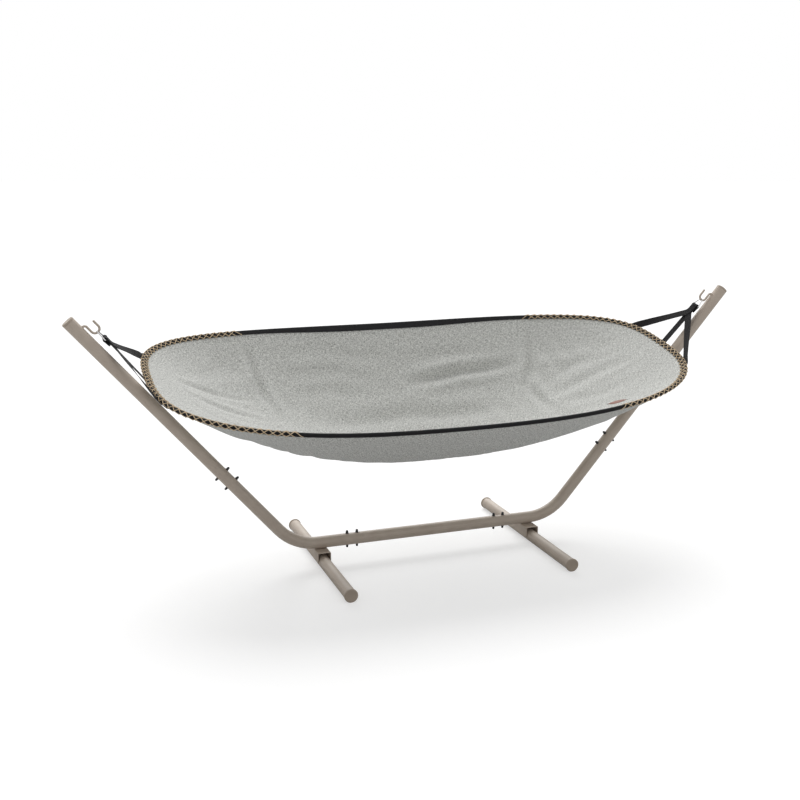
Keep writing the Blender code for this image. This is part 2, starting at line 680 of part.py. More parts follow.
def build_rim_rod(rod_material, steel, frame, outline):
    """The sprung rod that keeps the rim open, in two halves, and the sleeves over their ends."""
    step_length = (bed_point(outline[1], 1.0) - bed_point(outline[0], 1.0)).length
    gap = ROD_END_GAP / step_length
    half_turn = RIM_STEPS / 2
    for side, first in (("far", 0.0), ("near", half_turn)):
        points = along_rim(outline, first + gap, first + half_turn - gap)
        wire(f"rim_rod_{side}", points, ROD_RADIUS, rod_material, resolution=2, parent=frame)
    reach = SLEEVE_HALF_LENGTH / step_length
    for end, step in (("right", 0.0), ("left", half_turn)):
        first, middle, last = along_rim(outline, step - reach, step + reach)
        across = Vector((0, 0, 1))
        rows = [(first, middle - first), (middle, last - first), (last, last - middle)]
        loops = []
        for radius in (SLEEVE_RADIUS, SLEEVE_RADIUS - SLEEVE_WALL):
            ring = [circle(frame_at(point, way, across), radius, ROD_SIDES) for point, way in rows]
            loops += ring if not loops else ring[::-1]
        place(f"rod_sleeve_{end}", mesh_from(loft(loops, closed=True)), steel, parent=frame)


def nearest_step(outline, sign, y):
    """The rim step at one end whose place across the hammock is nearest to y."""
    ends = [k for k, plan in enumerate(outline) if plan.x * sign > RIM_END_SHARE * RIM_HALF_LENGTH]
    return min(ends, key=lambda k: abs(outline[k].y - y))


def strap_route(outline, sign, y, layer):
    """Centre points and flat-side normals of one strap, from its sewn end round the bar to the rim."""
    away = Vector((-sign * ALONG_ARM.x, 0, -ALONG_ARM.z))
    lift = Vector((-sign * ALONG_ARM.z, 0, ALONG_ARM.x))
    bar = Vector((sign * SWING.x, 0, 0)) + RING_BAR_DROP * away
    pitch = STRAP_THICKNESS + STRAP_LAY_GAP
    radius = RING_WIRE + FIT + STRAP_THICKNESS / 2 + layer * pitch
    level = pitch / 2 + layer * pitch
    back = STRAP_BACK_LEG
    reach = math.hypot(back, level)
    lean = math.acos(radius / reach) - math.atan2(level, back)

    def loop_point(angle):
        return bar + radius * (math.cos(angle) * away + math.sin(angle) * lift)

    def loop_normal(angle):
        return math.cos(angle) * away + math.sin(angle) * lift

    loop_turn = math.tau - 2 * lean
    angles = [-lean - loop_turn * k / STRAP_LOOP_STEPS for k in range(STRAP_LOOP_STEPS + 1)]
    route = [(bar + back * away - level * lift, -lift)]
    route += [(loop_point(a), loop_normal(a)) for a in angles]
    route.append((bar + back * away + level * lift, lift))

    rim = RimFrame(outline, nearest_step(outline, sign, y))
    turn_point = bar + STRAP_TURN_START * away + level * lift
    flight = (rim.point - turn_point).normalized()
    flat = flight.cross(rim.along).normalized()
    if flat.dot(lift) < 0:
        flat = -flat
    seat_out = BINDING_OUTER + STRAP_SEAT_GAP + STRAP_THICKNESS / 2
    between = (flat + rim.up).normalized()
    edge = rim.point - between * seat_out / between.dot(rim.up)
    lap_way = Matrix.Rotation(flat.angle(rim.up), 3, flat.cross(rim.up)) @ flight
    lap_end = edge + STRAP_LAP * lap_way.normalized()
    flight = (edge - turn_point).normalized()
    if abs(y) > STRAP_WIDTH:
        arc = fillet(route[-1][0], turn_point, edge, STRAP_TURN_RADIUS, STRAP_TURN_STEPS)
        route[-1:] = [(point, lift) for point in arc]
    for k in range(1, STRAP_TWIST_STEPS + 1):
        turn = k / STRAP_TWIST_STEPS
        share = STRAP_TWIST_START + (STRAP_TWIST_END - STRAP_TWIST_START) * turn
        route.append((turn_point.lerp(edge, share), lift.lerp(flat, turn * turn * (3 - 2 * turn))))
    route.append((edge, between))
    route.append((lap_end, rim.up))
    return route


def ribbon(route):
    """A flat strap along a route of centre points and normals. Both flat sides are split along the same
    diagonals, so that they stay apart where the strap twists."""
    loops = []
    last = len(route) - 1
    for i, (point, normal) in enumerate(route):
        along = (route[min(i + 1, last)][0] - route[max(i - 1, 0)][0]).normalized()
        across = normal.cross(along).normalized() * STRAP_WIDTH / 2
        thick = along.cross(across).normalized() * STRAP_THICKNESS / 2
        loops.append([point - across - thick, point + across - thick, point + across + thick,
                      point - across + thick])
    bm = loft(loops)
    bm.verts.ensure_lookup_table()
    rows = [bm.verts[4 * i:4 * i + 4] for i in range(len(loops))]
    for row, following in zip(rows, rows[1:]):
        bmesh.ops.connect_verts(bm, verts=[row[0], following[1]])
        bmesh.ops.connect_verts(bm, verts=[row[3], following[2]])
    return bm


def build_straps(webbing, frame, outline):
    """Three straps at each end, looped one over another round the ring's bar."""
    places = (("middle", 0.0, 0), ("near", -STRAP_SPREAD, 1), ("far", STRAP_SPREAD, 2))
    for end, sign in hammock_ends():
        for label, y, layer in places:
            bm = ribbon(strap_route(outline, sign, y, layer))
            place(f"strap_{label}_{end}", mesh_from(bm), webbing, parent=frame)


def build_patch(leather, frame, outline):
    """The bare leather patch, a pointed oval, on one panel of the bed's upper skin."""
    steps = (PATCH_SEGMENT, PATCH_SEGMENT + 1)
    outer, inner = [[bed_surface(outline, k, share, BED_THICKNESS / 2) for k in steps]
                    for share in BED_RINGS[:2]]
    centre = outer[0].lerp(outer[1], PATCH_ALONG).lerp(inner[0].lerp(inner[1], PATCH_ALONG), PATCH_INWARD)
    normal = (inner[1] - outer[0]).cross(inner[0] - outer[1]).normalized()
    if normal.z < 0:
        normal = -normal
    along = Matrix.Rotation(PATCH_TURN, 3, normal) @ (outer[1] + inner[1] - outer[0] - inner[0]).normalized()
    matrix = frame_at(centre + normal * PATCH_GAP, normal, along)
    half = PATCH_LENGTH / 2
    bow = (half ** 2 - (PATCH_WIDTH / 2) ** 2) / PATCH_WIDTH
    radius = bow + PATCH_WIDTH / 2
    spread = math.asin(half / radius)
    arc = [spread * (2 * k / PATCH_STEPS - 1) for k in range(PATCH_STEPS)]
    upper = [(radius * math.sin(a), radius * math.cos(a) - bow) for a in arc]
    loops = [[matrix @ Vector((x, y, z)) for x, y in upper + [(-x, -y) for x, y in upper]]
             for z in (0.0, PATCH_THICKNESS)]
    place("leather_patch", mesh_from(loft(loops)), leather, parent=frame)


def build():
    for item in list(bpy.data.objects):
        bpy.data.objects.remove(item, do_unlink=True)
    paint = make_material("taupe_powder_coat", (0.45, 0.38, 0.32), 0.45, 0.0)
    plastic = make_material("taupe_plastic", (0.47, 0.40, 0.34), 0.5, 0.0)
    black = make_material("black_plastic", (0.02, 0.02, 0.02), 0.45, 0.0)
    zinc = make_material("zinc_plated_steel", (0.55, 0.55, 0.52), 0.35, 1.0)
    steel = make_material("bright_steel", (0.80, 0.80, 0.80), 0.2, 1.0)
    webbing = make_material("black_webbing", (0.02, 0.02, 0.02), 0.85, 0.0)
    cloth = make_material("grey_melange_cloth", (0.48, 0.48, 0.46), 0.95, 0.0)
    fibre = make_material("glass_fibre_rod", (0.75, 0.74, 0.68), 0.4, 0.0)
    leather = make_material("brown_leather", (0.32, 0.12, 0.08), 0.6, 0.0)

    build_centre_tube(paint)
    build_lower_tubes(paint)
    build_arms(paint)
    build_arm_plugs(plastic)
    build_joint_hardware(black)
    build_feet(paint, plastic)
    build_saddles(paint)
    build_foot_hardware(zinc)
    build_hooks(paint)

    frame = empty("hammock_frame", (0, 0, SWING.z))
    frame.rotation_euler = (ROLL, 0, 0)
    outline = rim_outline()
    build_rings(steel, frame)
    build_bed(cloth, frame, outline)
    build_binding(webbing, frame, outline)
    build_rim_rod(fibre, steel, frame, outline)
    build_straps(webbing, frame, outline)
    build_patch(leather, frame, outline)

    stand_frame = empty("stand_frame", (0, STAND_Y, 0))
    for item in bpy.data.objects:
        if item.parent is None and item != stand_frame:
            item.parent = stand_frame


build()
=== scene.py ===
# %% [markdown]
# # A garden hammock on a tube stand
# This lesson dresses a bolted tube stand and the padded hammock that hangs in it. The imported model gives
# the frame: every solid piece is already there, in metres, at its real place. We add what a photograph
# shows and a plain solid lacks: cloth that sags and creases, folded webbing, cord whipping and finishes.

# %% Load the frame
import json
import math

import bmesh
import bpy
import numpy as np
from mathutils import Matrix, Vector, noise
from mathutils.bvhtree import BVHTree


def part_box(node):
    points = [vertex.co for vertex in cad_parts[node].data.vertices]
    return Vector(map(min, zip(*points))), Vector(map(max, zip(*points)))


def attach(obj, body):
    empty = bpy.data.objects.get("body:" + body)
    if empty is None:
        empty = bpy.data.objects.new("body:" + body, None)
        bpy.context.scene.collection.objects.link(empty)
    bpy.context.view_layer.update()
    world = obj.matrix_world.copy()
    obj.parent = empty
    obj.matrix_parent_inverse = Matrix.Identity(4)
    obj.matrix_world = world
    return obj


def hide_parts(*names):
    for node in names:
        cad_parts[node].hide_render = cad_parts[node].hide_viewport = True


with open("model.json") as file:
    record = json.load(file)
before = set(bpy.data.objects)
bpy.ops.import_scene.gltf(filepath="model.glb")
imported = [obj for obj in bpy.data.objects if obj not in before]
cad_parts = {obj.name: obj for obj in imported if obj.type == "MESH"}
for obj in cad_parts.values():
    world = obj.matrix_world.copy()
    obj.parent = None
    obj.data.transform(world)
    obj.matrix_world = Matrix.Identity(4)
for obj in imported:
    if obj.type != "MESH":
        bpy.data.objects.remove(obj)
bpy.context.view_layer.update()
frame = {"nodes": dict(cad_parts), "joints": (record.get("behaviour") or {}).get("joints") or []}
nodes = frame["nodes"]

# %% [markdown]
# ## Sizes that the frame gives
# The hammock swings about the line through both hooks. At rest it hangs rolled about that line, so its
# pieces are easiest to describe level, in a frame of their own, and to turn into place at the end. The
# stand's tube and the swing line are read from the frame, so they always match the solid model.

# %% Places in the stand and the hammock's own frame
SWING_LINE = Vector(frame["joints"][0]["pos_m"])
ROLL = math.radians(11.7)
hammock_place = Matrix.Translation(SWING_LINE) @ Matrix.Rotation(ROLL, 4, "X")
tube_low, tube_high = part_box("centre_tube")
TUBE_RADIUS = (tube_high.z - tube_low.z) / 2
STAND_Y = (tube_high.y + tube_low.y) / 2
SPINE_HEIGHT = (tube_high.z + tube_low.z) / 2
stand_place = Matrix.Translation((0, STAND_Y, 0))
print("tube radius", round(TUBE_RADIUS, 4), "spine height", round(SPINE_HEIGHT, 4))

ARM_ANGLE = math.radians(49.3)
ALONG_ARM = Vector((math.cos(ARM_ANGLE), 0, math.sin(ARM_ANGLE)))
ACROSS_ARM = Vector((-math.sin(ARM_ANGLE), 0, math.cos(ARM_ANGLE)))
HALF_TURN = Matrix.Rotation(math.pi, 4, "Z")
SIDES = (("right", 1, Matrix()), ("left", -1, HALF_TURN))

# %% [markdown]
# ## Camera
# A product photographer stands a little to the left of the hammock's middle and above its height, and
# uses a normal lens. The lens and place below are those of the photograph, solved from the stand's tubes.
# A camera could be aimed with a Track To constraint, but plain angles keep it easy to read and to change.

# %% Camera at the photograph's place
IMAGE_PIXELS = 800
FOCAL_PIXELS = 1113.85
SENSOR_WIDTH = 36.0
CAMERA_PLACE = Vector((-1.971, -5.177, 2.063))
CAMERA_YAW = math.radians(19.63)
CAMERA_PITCH = math.radians(12.97)

scene = bpy.context.scene
camera_data = bpy.data.cameras.new("camera")
camera_data.sensor_width = SENSOR_WIDTH
camera_data.lens = SENSOR_WIDTH * FOCAL_PIXELS / IMAGE_PIXELS
camera = bpy.data.objects.new("camera", camera_data)
camera.location = CAMERA_PLACE
camera.rotation_euler = (math.pi / 2 - CAMERA_PITCH, 0, -CAMERA_YAW)
scene.collection.objects.link(camera)
scene.camera = camera
print("lens", round(camera_data.lens, 2), "mm")

# %% [markdown]
# ## Helpers for shader nodes
# Lights, floor and finishes are all built from shader nodes. One helper adds a node and sets its inputs,
# each to a number or to another node's output, and a second one does the same for a sum or a product.


# %% A helper that adds a node and sets its inputs
def add_node(tree, kind, inputs=None, **settings):
    node = tree.nodes.new(kind)
    for name, value in settings.items():
        setattr(node, name, value)
    for name, value in (inputs or {}).items():
        if isinstance(value, bpy.types.NodeSocket):
            tree.links.new(value, node.inputs[name])
        else:
            node.inputs[name].default_value = value
    return node


def worked_out(tree, operation, first, second=0.0):
    """The output of a Math node."""
    return add_node(tree, "ShaderNodeMath", {0: first, 1: second}, operation=operation).outputs[0]


print("node helpers ready")

# %% [markdown]
# ## Light and floor
# The cut-out photograph has soft light from above and behind, and a white ground. A wide sun gives the
# same light everywhere, so the floor doesn't fall off to grey as it would under area lamps. The world
# fills the shadows. The camera and reflections see it as plain white, while the light it sheds on the
# object stays lower. The floor is a mid grey, so that it throws little light up at the hammock, and a
# glow that only the camera sees makes it look white. It starts as a bmesh, as every piece after it does,
# and one helper turns them all into objects.


# %% Turning a bmesh into an object
def as_object(name, bm):
    mesh = bpy.data.meshes.new(name)
    bm.to_mesh(mesh)
    bm.free()
    piece = bpy.data.objects.new(name, mesh)
    scene.collection.objects.link(piece)
    return piece


print("objects can be made")

# %% Sun and world
SUN_STRENGTH = 2.25
SUN_ANGLE = math.radians(50)
SUN_TURN = (math.radians(-37), math.radians(9), 0)
FILL_STRENGTH = 0.52
WHITE = (1, 1, 1, 1)

scene.view_settings.view_transform = "Standard"
sun_data = bpy.data.lights.new("sun", "SUN")
sun_data.energy = SUN_STRENGTH
sun_data.angle = SUN_ANGLE
sun = bpy.data.objects.new("sun", sun_data)
sun.rotation_euler = SUN_TURN
scene.collection.objects.link(sun)

world = bpy.data.worlds.new("studio")
world.use_nodes = True
scene.world = world
tree = world.node_tree
background = tree.nodes["Background"]
rays = tree.nodes.new("ShaderNodeLightPath").outputs
seen = worked_out(tree, "MAXIMUM", rays["Is Camera Ray"], rays["Is Glossy Ray"])
seen = worked_out(tree, "MAXIMUM", seen, rays["Is Transmission Ray"])
strength = add_node(tree, "ShaderNodeMapRange", {"Value": seen, "To Min": FILL_STRENGTH, "To Max": 1.0})
tree.links.new(strength.outputs[0], background.inputs["Strength"])
background.inputs["Color"].default_value = WHITE
print("sun", SUN_STRENGTH, "fill", FILL_STRENGTH)

# %% Floor that the camera sees as white
FLOOR_COLOUR = (0.56, 0.56, 0.56, 1)
FLOOR_LIFT = 0.52
FLOOR_RADIUS = 60.0
bm = bmesh.new()
bmesh.ops.create_circle(bm, cap_ends=True, segments=64, radius=FLOOR_RADIUS)
floor = as_object("floor", bm)

floor_material = bpy.data.materials.new("floor")
floor_material.use_nodes = True
floor_shader = floor_material.node_tree.nodes["Principled BSDF"]
floor_shader.inputs["Base Color"].default_value = FLOOR_COLOUR
floor_shader.inputs["Roughness"].default_value = 1.0
floor_shader.inputs["Specular IOR Level"].default_value = 0.0
tree = floor_material.node_tree
rays = tree.nodes.new("ShaderNodeLightPath").outputs
glow = worked_out(tree, "MULTIPLY", rays["Is Camera Ray"], FLOOR_LIFT)
tree.links.new(glow, floor_shader.inputs["Emission Strength"])
floor_shader.inputs["Emission Color"].default_value = WHITE
floor.data.materials.append(floor_material)
print("floor", 2 * FLOOR_RADIUS, "m across")

# %% [markdown]
# ## Node groups that several finishes share
# Powder coat, moulded plastic and leather all need a fine grain, and webbing, cord and cloth all need
# threads. Each effect is a node group with named inputs, built once. The groups put out only masks and
# heights. The shader stays in the material, where other programs can read its gloss too.


# %% A helper that makes an empty node group
def new_group(name, inputs, outputs):
    """A node group with float or vector inputs (name, kind, value) and outputs (name, kind)."""
    tree = bpy.data.node_groups.new(name, "ShaderNodeTree")
    for label, kind, value in inputs:
        socket = tree.interface.new_socket(label, in_out="INPUT", socket_type=kind)
        if value is not None:
            socket.default_value = value
    for label, kind in outputs:
        tree.interface.new_socket(label, in_out="OUTPUT", socket_type=kind)
    return tree, tree.nodes.new("NodeGroupInput"), tree.nodes.new("NodeGroupOutput")


FLOAT = "NodeSocketFloat"
VECTOR = "NodeSocketVector"
print("groups can be made")

# %% Grain: fine bumps and slow unevenness
grain, entry, leave = new_group(
    "grain", [("Vector", VECTOR, None), ("Scale", FLOAT, 900.0)],
    [("Height", FLOAT), ("Patches", FLOAT)])
fine = add_node(grain, "ShaderNodeTexNoise", {
    "Vector": entry.outputs["Vector"], "Scale": entry.outputs["Scale"], "Detail": 2.0, "Roughness": 0.6})
SLOWER = 1 / 60
slow = add_node(grain, "ShaderNodeTexNoise", {
    "Vector": entry.outputs["Vector"], "Detail": 3.0,
    "Scale": worked_out(grain, "MULTIPLY", entry.outputs["Scale"], SLOWER)})
grain.links.new(fine.outputs["Fac"], leave.inputs["Height"])
grain.links.new(slow.outputs["Fac"], leave.inputs["Patches"])
print("grain", len(grain.nodes), "nodes")

# %% Threads: a plain weave along the piece's own map
threads, entry, leave = new_group(
    "threads", [("Map", VECTOR, None), ("Along", FLOAT, 0.0015), ("Across", FLOAT, 0.0015)],
    [("Height", FLOAT), ("Over", FLOAT)])
parts = add_node(threads, "ShaderNodeSeparateXYZ", {0: entry.outputs["Map"]})
waves = []
for axis, pitch in (("X", "Along"), ("Y", "Across")):
    turns = worked_out(threads, "DIVIDE", parts.outputs[axis], entry.outputs[pitch])
    waves.append(worked_out(threads, "SINE", worked_out(threads, "MULTIPLY", turns, math.pi)))
over = worked_out(threads, "MULTIPLY", *waves)
ridges = worked_out(threads, "MAXIMUM", *[worked_out(threads, "ABSOLUTE", wave) for wave in waves])
threads.links.new(ridges, leave.inputs["Height"])
threads.links.new(over, leave.inputs["Over"])
print("threads", len(threads.nodes), "nodes")

# %% [markdown]
# ## Finishes
# Each finish mixes two colours through one or two masks and gives the shader a bump from its grain or
# threads. A single flat colour would look like plastic everywhere; a real coat has an orange-peel
# skin, real webbing has ribs, and heathered yarn mixes light and dark fibres.


# %% Helpers for colours, for a new material and for its bump
def linear(red, green, blue):
    """A colour as the eye reads it, from 0 to 255, made linear for the shader."""
    def channel(value):
        share = value / 255
        return share / 12.92 if share <= 0.04045 else ((share + 0.055) / 1.055) ** 2.4
    return (channel(red), channel(green), channel(blue), 1.0)


def new_material(name, roughness, metallic=0.0, specular=0.5):
    material = bpy.data.materials.new(name)
    material.use_nodes = True
    tree = material.node_tree
    shader = tree.nodes["Principled BSDF"]
    shader.inputs["Roughness"].default_value = roughness
    shader.inputs["Metallic"].default_value = metallic
    shader.inputs["Specular IOR Level"].default_value = specular
    place = tree.nodes.new("ShaderNodeTexCoord")
    return material, tree, shader, place


def mixed(tree, mask, first, second, low=0.3, high=0.7):
    """A colour between two, by a mask that runs from low to high. A Mix node has its colours in sockets
    6 and 7, and puts the mixed one out of its socket 2."""
    ramp = add_node(tree, "ShaderNodeMapRange", {"Value": mask, "From Min": low, "From Max": high})
    mix = add_node(tree, "ShaderNodeMix", {0: ramp.outputs[0], 6: first, 7: second}, data_type="RGBA")
    return mix.outputs[2]


def bump(tree, shader, height, distance, strength=1.0):
    node = add_node(tree, "ShaderNodeBump", {"Height": height, "Distance": distance, "Strength": strength})
    tree.links.new(node.outputs["Normal"], shader.inputs["Normal"])


print("middle grey is", round(linear(128, 128, 128)[0], 3))

# %% Hard finishes: powder coat, plastics, steels, rod and leather
SMOOTHER = 0.06
ROUGHER = 0.10


def coated(name, base, dark, roughness, scale, depth, metallic=0.0):
    """A finish with fine grain, slow patches of a second colour and a changing gloss."""
    material, tree, shader, place = new_material(name, roughness, metallic)
    skin = add_node(tree, "ShaderNodeGroup", {"Vector": place.outputs["Object"], "Scale": scale},
                    node_tree=grain)
    tree.links.new(mixed(tree, skin.outputs["Patches"], base, dark), shader.inputs["Base Color"])
    gloss = add_node(tree, "ShaderNodeMapRange", {
        "Value": skin.outputs["Height"], "To Min": roughness - SMOOTHER, "To Max": roughness + ROUGHER})
    tree.links.new(gloss.outputs[0], shader.inputs["Roughness"])
    bump(tree, shader, skin.outputs["Height"], depth)
    return material


paint = coated("powder_coat", linear(196, 183, 169), linear(187, 173, 159), 0.40, 900, 0.00012)
plastic = coated("moulded_taupe", linear(182, 168, 153), linear(172, 158, 143), 0.46, 500, 0.00005)
black_plastic = coated("moulded_black", linear(34, 34, 36), linear(26, 26, 28), 0.40, 700, 0.00005)
zinc = coated("zinc_plate", linear(196, 196, 190), linear(170, 170, 160), 0.34, 300, 0.00002, 1.0)
steel = coated("polished_steel", linear(222, 222, 222), linear(200, 200, 202), 0.18, 400, 0.00001, 1.0)
fibre = coated("glass_fibre", linear(225, 222, 208), linear(212, 208, 192), 0.35, 400, 0.00003)
leather = coated("tanned_leather", linear(142, 96, 80), linear(120, 78, 64), 0.55, 420, 0.0004)
print("hard finishes", paint.name, plastic.name, black_plastic.name, zinc.name, steel.name)

# %% [markdown]
# ### Woven finishes
# Webbing has bold lengthwise ribs, so its thread map is stretched along the strap. Heathered cloth is
# spun from light and dark fibres: noise stretched along both yarn directions mixes the two colours, and
# a fuzzy sheen softens the edges of each fold.


# %% Webbing, whipping cord and sewing thread
def woven(name, light, dark, along, across, depth, fuzz=0.15):
    """A finish of light and dark threads, with their pitch along and across the piece's map."""
    material, tree, shader, place = new_material(name, roughness=0.85, specular=0.25)
    weave = add_node(tree, "ShaderNodeGroup", {"Map": place.outputs["UV"], "Along": along, "Across": across},
                     node_tree=threads)
    tree.links.new(mixed(tree, weave.outputs["Over"], dark, light, -1.0, 1.0), shader.inputs["Base Color"])
    bump(tree, shader, weave.outputs["Height"], depth)
    shader.inputs["Sheen Weight"].default_value = fuzz
    return material


webbing = woven("ribbed_webbing", linear(33, 32, 34), linear(17, 17, 19), 0.0028, 0.0016, 0.0006, fuzz=0.03)
cord = woven("beige_cord", linear(244, 224, 192), linear(212, 184, 146), 0.0022, 0.0016, 0.0005)
black_thread = woven("black_thread", linear(44, 43, 44), linear(26, 26, 27), 0.0010, 0.0008, 0.0002)
print("woven finishes", webbing.name, cord.name, black_thread.name)

# %% Heathered cloth
YARN_PITCH = 0.0024
YARN_LENGTHWISE = 60
YARN_ACROSS = 700
TUFT_SCALE = 175.0
FIBRE_RANGE = (0.72, 1.12)
TUFT_RANGE = (0.32, 0.50)
CLOTH_BUMP = 0.0009
CLOTH_BUMP_STRENGTH = 0.8


def heathered(name, light, dark):
    """Cloth of yarns that run both ways, each spun from light and dark fibres, with dark tufts."""
    material, tree, shader, place = new_material(name, roughness=0.95, specular=0.15)
    weave = add_node(tree, "ShaderNodeGroup", {
        "Map": place.outputs["UV"], "Along": YARN_PITCH, "Across": YARN_PITCH}, node_tree=threads)
    fibres = []
    for scale in ((YARN_LENGTHWISE, YARN_ACROSS, 1), (YARN_ACROSS, YARN_LENGTHWISE, 1)):
        stretched = add_node(tree, "ShaderNodeMapping", {"Vector": place.outputs["UV"], "Scale": scale})
        fibres.append(add_node(tree, "ShaderNodeTexNoise", {
            "Vector": stretched.outputs[0], "Scale": 1.0, "Detail": 2.0, "Roughness": 0.7}))
    tufts = add_node(tree, "ShaderNodeTexNoise", {
        "Vector": place.outputs["UV"], "Scale": TUFT_SCALE, "Detail": 3.0, "Roughness": 0.8})
    both = worked_out(tree, "ADD", fibres[0].outputs["Fac"], fibres[1].outputs["Fac"])
    fine = mixed(tree, both, dark, light, *FIBRE_RANGE)
    speckled = mixed(tree, tufts.outputs["Fac"], dark, fine, *TUFT_RANGE)
    tree.links.new(speckled, shader.inputs["Base Color"])
    rough = worked_out(tree, "ADD", tufts.outputs["Fac"], weave.outputs["Height"])
    bump(tree, shader, rough, CLOTH_BUMP, CLOTH_BUMP_STRENGTH)
    shader.inputs["Sheen Weight"].default_value = 0.25
    shader.inputs["Sheen Roughness"].default_value = 0.6
    return material


cloth = heathered("heathered_cloth", linear(245, 246, 241), linear(98, 98, 94))
print("cloth", cloth.name, len(cloth.node_tree.nodes), "nodes")

# %% [markdown]
# ## Helpers that shape meshes
# Bent wire, webbing and cord are swept: a section carried along a route. The sweep starts from a plain
# grid, bends it so that its columns follow the route and its rows follow the section, welds the seam and
# fills the ends. The grid also gives the piece a map in metres, so threads and ribs keep their real size.
# Small moulded parts are turned: a profile spun round an axis.


# %% Finish a mesh and ride it on its body
def add_piece(name, bm, material, body, replaced=(), smooth_angle=40.0, place=None):
    """Turn a bmesh into a finished piece: the place goes into its mesh and the object stays at the origin."""
    if place is not None:
        bmesh.ops.transform(bm, matrix=place, verts=bm.verts)
    bmesh.ops.recalc_face_normals(bm, faces=bm.faces)
    piece = as_object(name, bm)
    piece.data.shade_smooth()
    piece.data.set_sharp_from_angle(angle=math.radians(smooth_angle))
    piece.data.materials.append(material)
    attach(piece, body)
    if replaced:
        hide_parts(*replaced)
    return piece


def lay_map(bm, spots):
    """Give a mesh a map in metres, from a pair for each of its points."""
    layer = bm.loops.layers.uv.new("UVMap")
    for face in bm.faces:
        for loop in face.loops:
            loop[layer].uv = spots[loop.vert]


print("pieces can be finished and mapped")

# %% Sweep a section along a route
TINY = 1e-6


def lengths_along(points):
    """Length of a route from its start to each of its points."""
    lengths = [0.0]
    for a, b in zip(points, points[1:]):
        lengths.append(lengths[-1] + math.dist(a, b))
    return lengths


def swept(route, section, closed=False, change=None):
    """A section of (side, up) pairs carried along a route of (point, side, up) frames, which may be
    closed. The change, if given, turns a step of the route and a section pair into that step's own."""
    steps = len(route)
    section = section + section[:1]
    if closed:
        route = route + route[:1]
    along = lengths_along([point for point, _, _ in route])
    around = lengths_along(section)
    bm = bmesh.new()
    bmesh.ops.create_grid(bm, x_segments=len(route) - 1, y_segments=len(section) - 1, size=1.0)
    spots = {}
    for vert in bm.verts:
        i = round((vert.co.x + 1) / 2 * (len(route) - 1))
        j = round((vert.co.y + 1) / 2 * (len(section) - 1))
        spots[vert] = (along[i], around[j])
        point, side, up = route[i]
        s, u = section[j]
        if change:
            s, u = change(i % steps, s, u)
        vert.co = point + side * s + up * u
    lay_map(bm, spots)
    bmesh.ops.remove_doubles(bm, verts=bm.verts, dist=TINY)
    if not closed:
        bmesh.ops.holes_fill(bm, edges=[e for e in bm.edges if e.is_boundary])
    return bm


def circle_section(radius, sides):
    return [(radius * math.cos(math.tau * k / sides), radius * math.sin(math.tau * k / sides))
            for k in range(sides)]


print("sweeps can be made")


# %% Frames and rounded corners of a route
def carried(points, closed=False, start=Vector((0, 1, 0))):
    """Frames along a route of points, each turned from the last without twist."""
    count = len(points)
    frames = []
    side = start
    for k, point in enumerate(points):
        ahead = points[(k + 1) % count] if closed else points[min(k + 1, count - 1)]
        behind = points[k - 1] if closed else points[max(k - 1, 0)]
        way = (ahead - behind).normalized()
        side = (side - side.dot(way) * way).normalized()
        frames.append((point, side, way.cross(side)))
    return frames


def arc_corner(before, corner, after, radius, steps):
    """Points of the arc that rounds one corner of a route."""
    back = (before - corner).normalized()
    ahead = (after - corner).normalized()
    half = back.angle(ahead) / 2
    centre = corner + (back + ahead).normalized() * radius / math.sin(half)
    start = corner + back * radius / math.tan(half) - centre
    axis = back.cross(ahead)
    turn = math.pi - 2 * half
    return [centre + Matrix.Rotation(-turn * k / steps, 3, axis) @ start for k in range(steps + 1)]


print("routes can be bent")


# %% Turned shapes, arcs and places
def turned(profile, steps, closed=False):
    """A profile of (radius, height) points turned round the Z axis. It starts and ends on the axis, or
    else it is closed and makes a ring."""
    bm = bmesh.new()
    verts = [bm.verts.new((radius, 0, height)) for radius, height in profile]
    edges = [bm.edges.new(pair) for pair in zip(verts, verts[1:] + verts[:1 if closed else 0])]
    bmesh.ops.spin(bm, geom=verts + edges, cent=(0, 0, 0), axis=(0, 0, 1), angle=math.tau,
                   steps=steps, use_merge=True)
    bmesh.ops.remove_doubles(bm, verts=bm.verts, dist=TINY)
    return bm


def arc(radius, start, end, steps, centre=(0.0, 0.0)):
    """Pairs on part of a circle, between two angles in degrees."""
    angles = [math.radians(start + (end - start) * k / steps) for k in range(steps + 1)]
    return [(centre[0] + radius * math.cos(a), centre[1] + radius * math.sin(a)) for a in angles]


def facing(point, along, side=Vector((0, 1, 0))):
    """A matrix at a point with Z along one direction and X nearest to another."""
    z = along.normalized()
    y = z.cross(side).normalized()
    x = y.cross(z)
    return Matrix.Translation(point) @ Matrix((x, y, z)).transposed().to_4x4()


print("profiles can be turned and placed")

# %% [markdown]
# ## The stand
# The five tubes and two feet are right as they come, down to the fine seam at each joint, so they only
# get their powder coat. The small fittings are remade: a moulded cover or a bent wire shows its rounded
# edges close up, where the solid model makes do with a few flat faces.


# %% Tubes, foot bolts and coupling nuts keep their shape
def refinish(names, material):
    for name in names:
        mesh = nodes[name].data
        mesh.materials.clear()
        mesh.materials.append(material)


refinish(["centre_tube"] + [f"{part}_{side}" for side, _, _ in SIDES
                            for part in ("lower_tube", "upper_arm", "foot_tube")], paint)
refinish([f"{part}_{side}" for side, _, _ in SIDES for part in ("foot_bolt", "coupling_nut")], zinc)
print("tubes finished")

# %% [markdown]
# ### Bolt covers
# Every tube joint has two through bolts. A black bell covers the head below and another the nut above.
# Both are turned shapes, so one profile of radius and height, spun round an axis, makes each of them.

